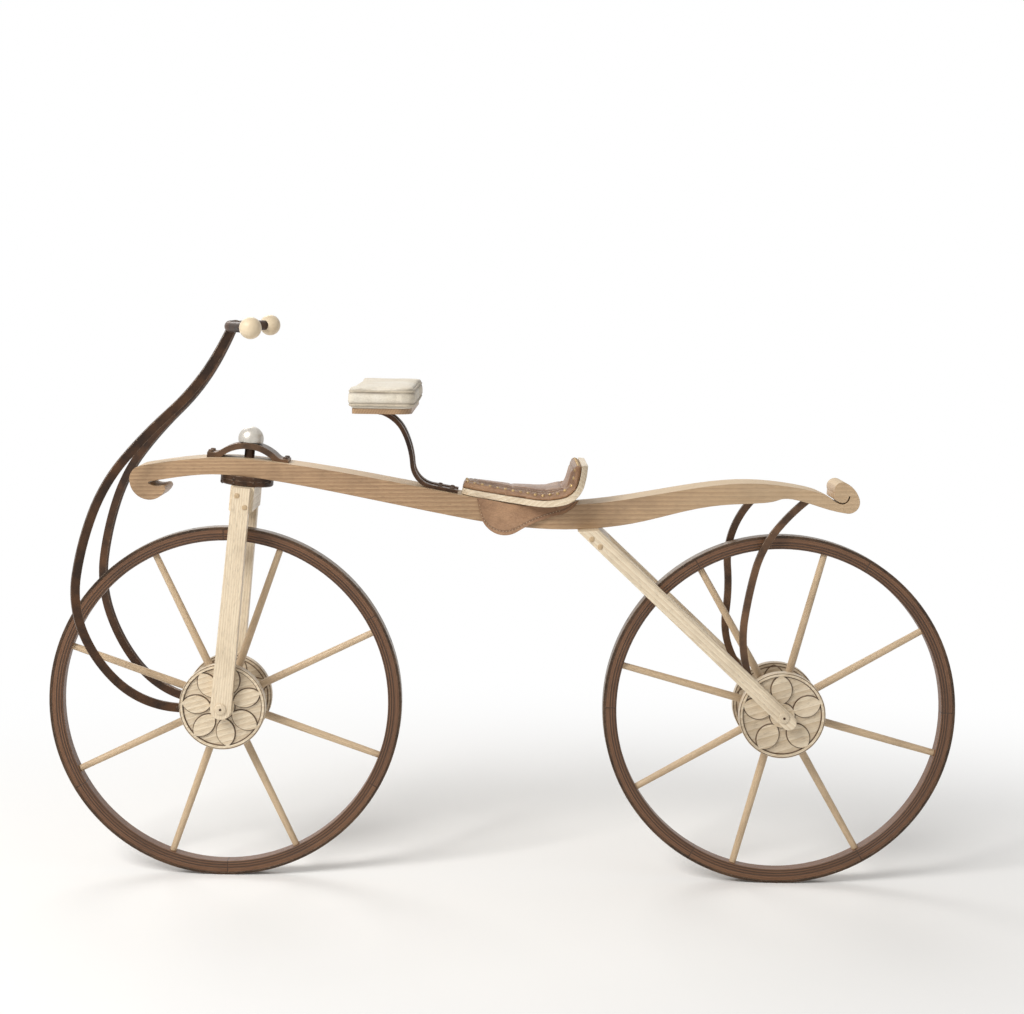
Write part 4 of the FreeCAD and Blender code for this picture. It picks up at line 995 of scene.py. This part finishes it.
def make_seat():
    """The stuffed seat, its sewn rows and its nails. The groove along a row is a bell curve of how far the
    distance from the edge, on the unrolled seat, is from the row's own."""
    seat = swell("seat_cover", "saddle_seat", "saddle_tree", SEAT_HELD, SEAT_MOST, SEAT_VOXEL)
    edge = seat_edge(seat)
    turns, run, ring, _ = edge
    points, normals = each_point(seat.data), each_point(seat.data, "normal")
    tree = KDTree(len(ring))
    for index, place in enumerate(ring):
        tree.insert(place, index)
    tree.balance()
    flat = np.column_stack([np.interp(turn_of(points), turns, run), points[:, 1], 0 * points[:, 1]])
    gap = np.array([tree.find(place)[2] for place in flat])
    eye = np.array(SEAT_EYE) - points[:, [0, 2]]
    upward = (normals[:, [0, 2]] * eye).sum(axis=1) > 0.25 * np.hypot(*eye.T)
    amount = 0.6 * bell(gap - NAIL_ROW, 1.3 * SEAM_HALF)
    for row in SEAT_SEAMS:
        amount = np.maximum(amount, bell(gap - row, SEAM_HALF))
    grooved(seat.data, amount * upward, SEAM_DEPTH)
    rows = np.concatenate([row_inside(seat, edge, row, STITCH_STEP) for row in SEAT_SEAMS], axis=1)
    fasten("seat_stitches", STITCH, rows, linen, "frame")
    fasten("seat_nails", TACK, row_inside(seat, edge, NAIL_ROW, NAIL_STEP)[:2], tack_brass, "frame")
    piece(seat, seat_hide, "frame", "saddle_seat")


def make_flap(hand, side):
    """One flap. Between the CAD flap's upper and lower edges a sheet is ruled, P(u, v) from the top down,
    and curls away from the perch by the square of v, with a shallow wave along u."""
    node = f"saddle_flap_{hand}"
    low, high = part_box(node)
    y = (low.y + high.y) / 2
    u = 0.5 - 0.5 * np.cos(np.linspace(0.04, math.pi - 0.04, 90))
    x = low.x + u * (high.x - low.x)
    upper = seated(node, [(value, y, high.z + 0.1) for value in x], (0, 0, -1))[0][:, 2]
    lower = seated(node, [(value, y, low.z - 0.1) for value in x], (0, 0, 1))[0][:, 2]
    v = np.linspace(0, 1, 26)
    z = np.outer(upper, 1 - v) + np.outer(lower, v)
    tall = upper - lower
    curl = FLAP_FLARE * np.outer(tall / tall.max() * (1 + 0.35 * np.sin(9.0 * u + side)), v ** 2)
    points = np.stack([np.broadcast_to(x[:, None], z.shape), y + side * curl, z], axis=-1)
    mesh = as_mesh(f"flap_{hand}", points, grid_faces(*z.shape))
    marked(mesh, bell(np.outer(tall, 1 - v) - FLAP_BORDER, 0.0016))
    flap = piece(placed(f"flap_{hand}", tidy(mesh)), flap_hide, "frame", node)
    wall = flap.modifiers.new("thickness", "SOLIDIFY")
    wall.thickness, wall.offset = FLAP_THICK, 0.0
    edge = flap.modifiers.new("cut_edge", "BEVEL")
    edge.width, edge.segments = 0.0011, 2
    applied(flap)
    smoothed(flap.data)
    keep = tall > 2.2 * FLAP_BORDER
    line = np.column_stack([x, 0 * x + side * OUTSIDE, lower + FLAP_BORDER])[keep]
    starts = walked(line, np.arange(0.002, run_along(line)[-1], STITCH_STEP))
    met, *spots = cast(flap, starts, np.broadcast_to((0, -side, 0), starts.shape))
    rows = [part[met] for part in (*spots, np.gradient(starts, axis=0))]
    fasten(f"flap_stitches_{hand}", STITCH, rows, linen, "frame")


make_seat()
for hand, side in SIDES:
    make_flap(hand, side)


# Arm rest: a stuffed buff-hide pad, piped along its edges and laid on an ash board, on two bent iron
# stays that are bolted to the perch and screwed under the board.
BUFF = (0.93, 0.875, 0.765), (0.80, 0.700, 0.545)
BUFF_MATT = 0.58  # roughness of brushed hide, which takes no polish
REST_VOXEL = 0.0050
REST_MOST = 0.0032
REST_HELD = 0.0015
PIPE_RADIUS = 0.0024
PIPE_LEVELS = {"low": 0.007, "high": 0.0325}  # above the pad's underside
PIPE_PINCH = 0.0042  # half height of the groove that a pipe lies in
PIPE_DEPTH = 0.0026
RING_LINES = 720
RING_START = 0.05  # lines to the pad's sides start this far outside its box,
RING_AIM = 0.045  # and aim this far inside it
FOOT_BOLTS = (0.012, 0.036)  # from a stay's rear end
HEAD_SCREWS = (0.012, 0.034)  # from its front end

dress(["arm_rest_board"], oiled_ash("board_ash", CROSS_GRAIN, PERCH_ASH, seed=7.0))
dress(both("arm_rest_stay"), black_iron)
buff = hide("rest_hide", BUFF, seed=8.0, matt=BUFF_MATT)
buff_cord = hide("rest_cord_hide", (BUFF[1], shade(BUFF[1], 0.6)), False, seed=9.0, matt=BUFF_MATT)


def pipe_along(ring, ahead):
    """A closed cord along a ring: circles square to the ring's direction, one at each of its points."""
    outward = unit(np.cross(ahead, (0.0, 0.0, 1.0)))
    up = np.cross(outward, ahead)
    angle = (np.arange(10) * math.tau / 10)[None, :, None]
    points = ring[:, None] + PIPE_RADIUS * (np.cos(angle) * outward[:, None] + np.sin(angle) * up[:, None])
    return points, grid_faces(*points.shape[:2], True, True)


def ring_round(holder, level):
    """The closed line where a level plane meets the pad's sides, found by lines in from all round."""
    middle = np.array(middle_of("arm_rest_pad"))
    angle = np.arange(RING_LINES) * math.tau / RING_LINES
    half = (np.array(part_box("arm_rest_pad")[1]) - middle)[:2] + RING_START
    square = np.clip(np.column_stack([np.cos(angle), np.sin(angle)]) * 1.6, -1, 1) * half
    inner = np.sign(square) * np.maximum(0, np.abs(square) - RING_START - RING_AIM)
    aims = unit(np.column_stack([inner - square, 0 * angle]))
    met, places, _ = cast(holder, np.column_stack([middle[:2] + square, 0 * angle + level]), aims)
    return places[met]


def make_rest():
    """The pad: stuffed by simulation and drawn in along both seams, then the piping that covers them."""
    pad = swell("rest_cushion", "arm_rest_pad", "arm_rest_board", REST_HELD, REST_MOST, REST_VOXEL)
    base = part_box("arm_rest_pad")[0].z
    height = each_point(pad.data)[:, 2] - base
    upright = np.abs(each_point(pad.data, "normal")[:, 2]) < 0.85
    amount = np.max([bell(height - level, PIPE_PINCH) for level in PIPE_LEVELS.values()], axis=0)
    grooved(pad.data, amount * upright, PIPE_DEPTH)
    for part, level in PIPE_LEVELS.items():
        name = f"rest_piping_{part}"
        mesh = as_mesh(name, *pipe_along(*even_ring(ring_round(pad, base + level), 0.004)))
        piece(placed(name, tidy(mesh)), buff_cord, "frame")
    piece(pad, buff, "frame", "arm_rest_pad")


def rest_bolts():
    """Two bolts through each stay's foot into the perch, and two screws up into the board."""
    for hand, _ in SIDES:
        node = f"arm_rest_stay_{hand}"
        low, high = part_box(node)
        y = (low.y + high.y) / 2
        feet = seated(node, [(high.x - step, y, high.z + 0.1) for step in FOOT_BOLTS], (0, 0, -1))
        fasten(f"rest_foot_bolts_{hand}", RIVET_HEAD, feet, tyre_iron)
        heads = seated(node, [(low.x + step, y, low.z - 0.1) for step in HEAD_SCREWS], (0, 0, 1))
        fasten(f"rest_head_screws_{hand}", SMALL_RIVET, heads, tyre_iron)


make_rest()
rest_bolts()
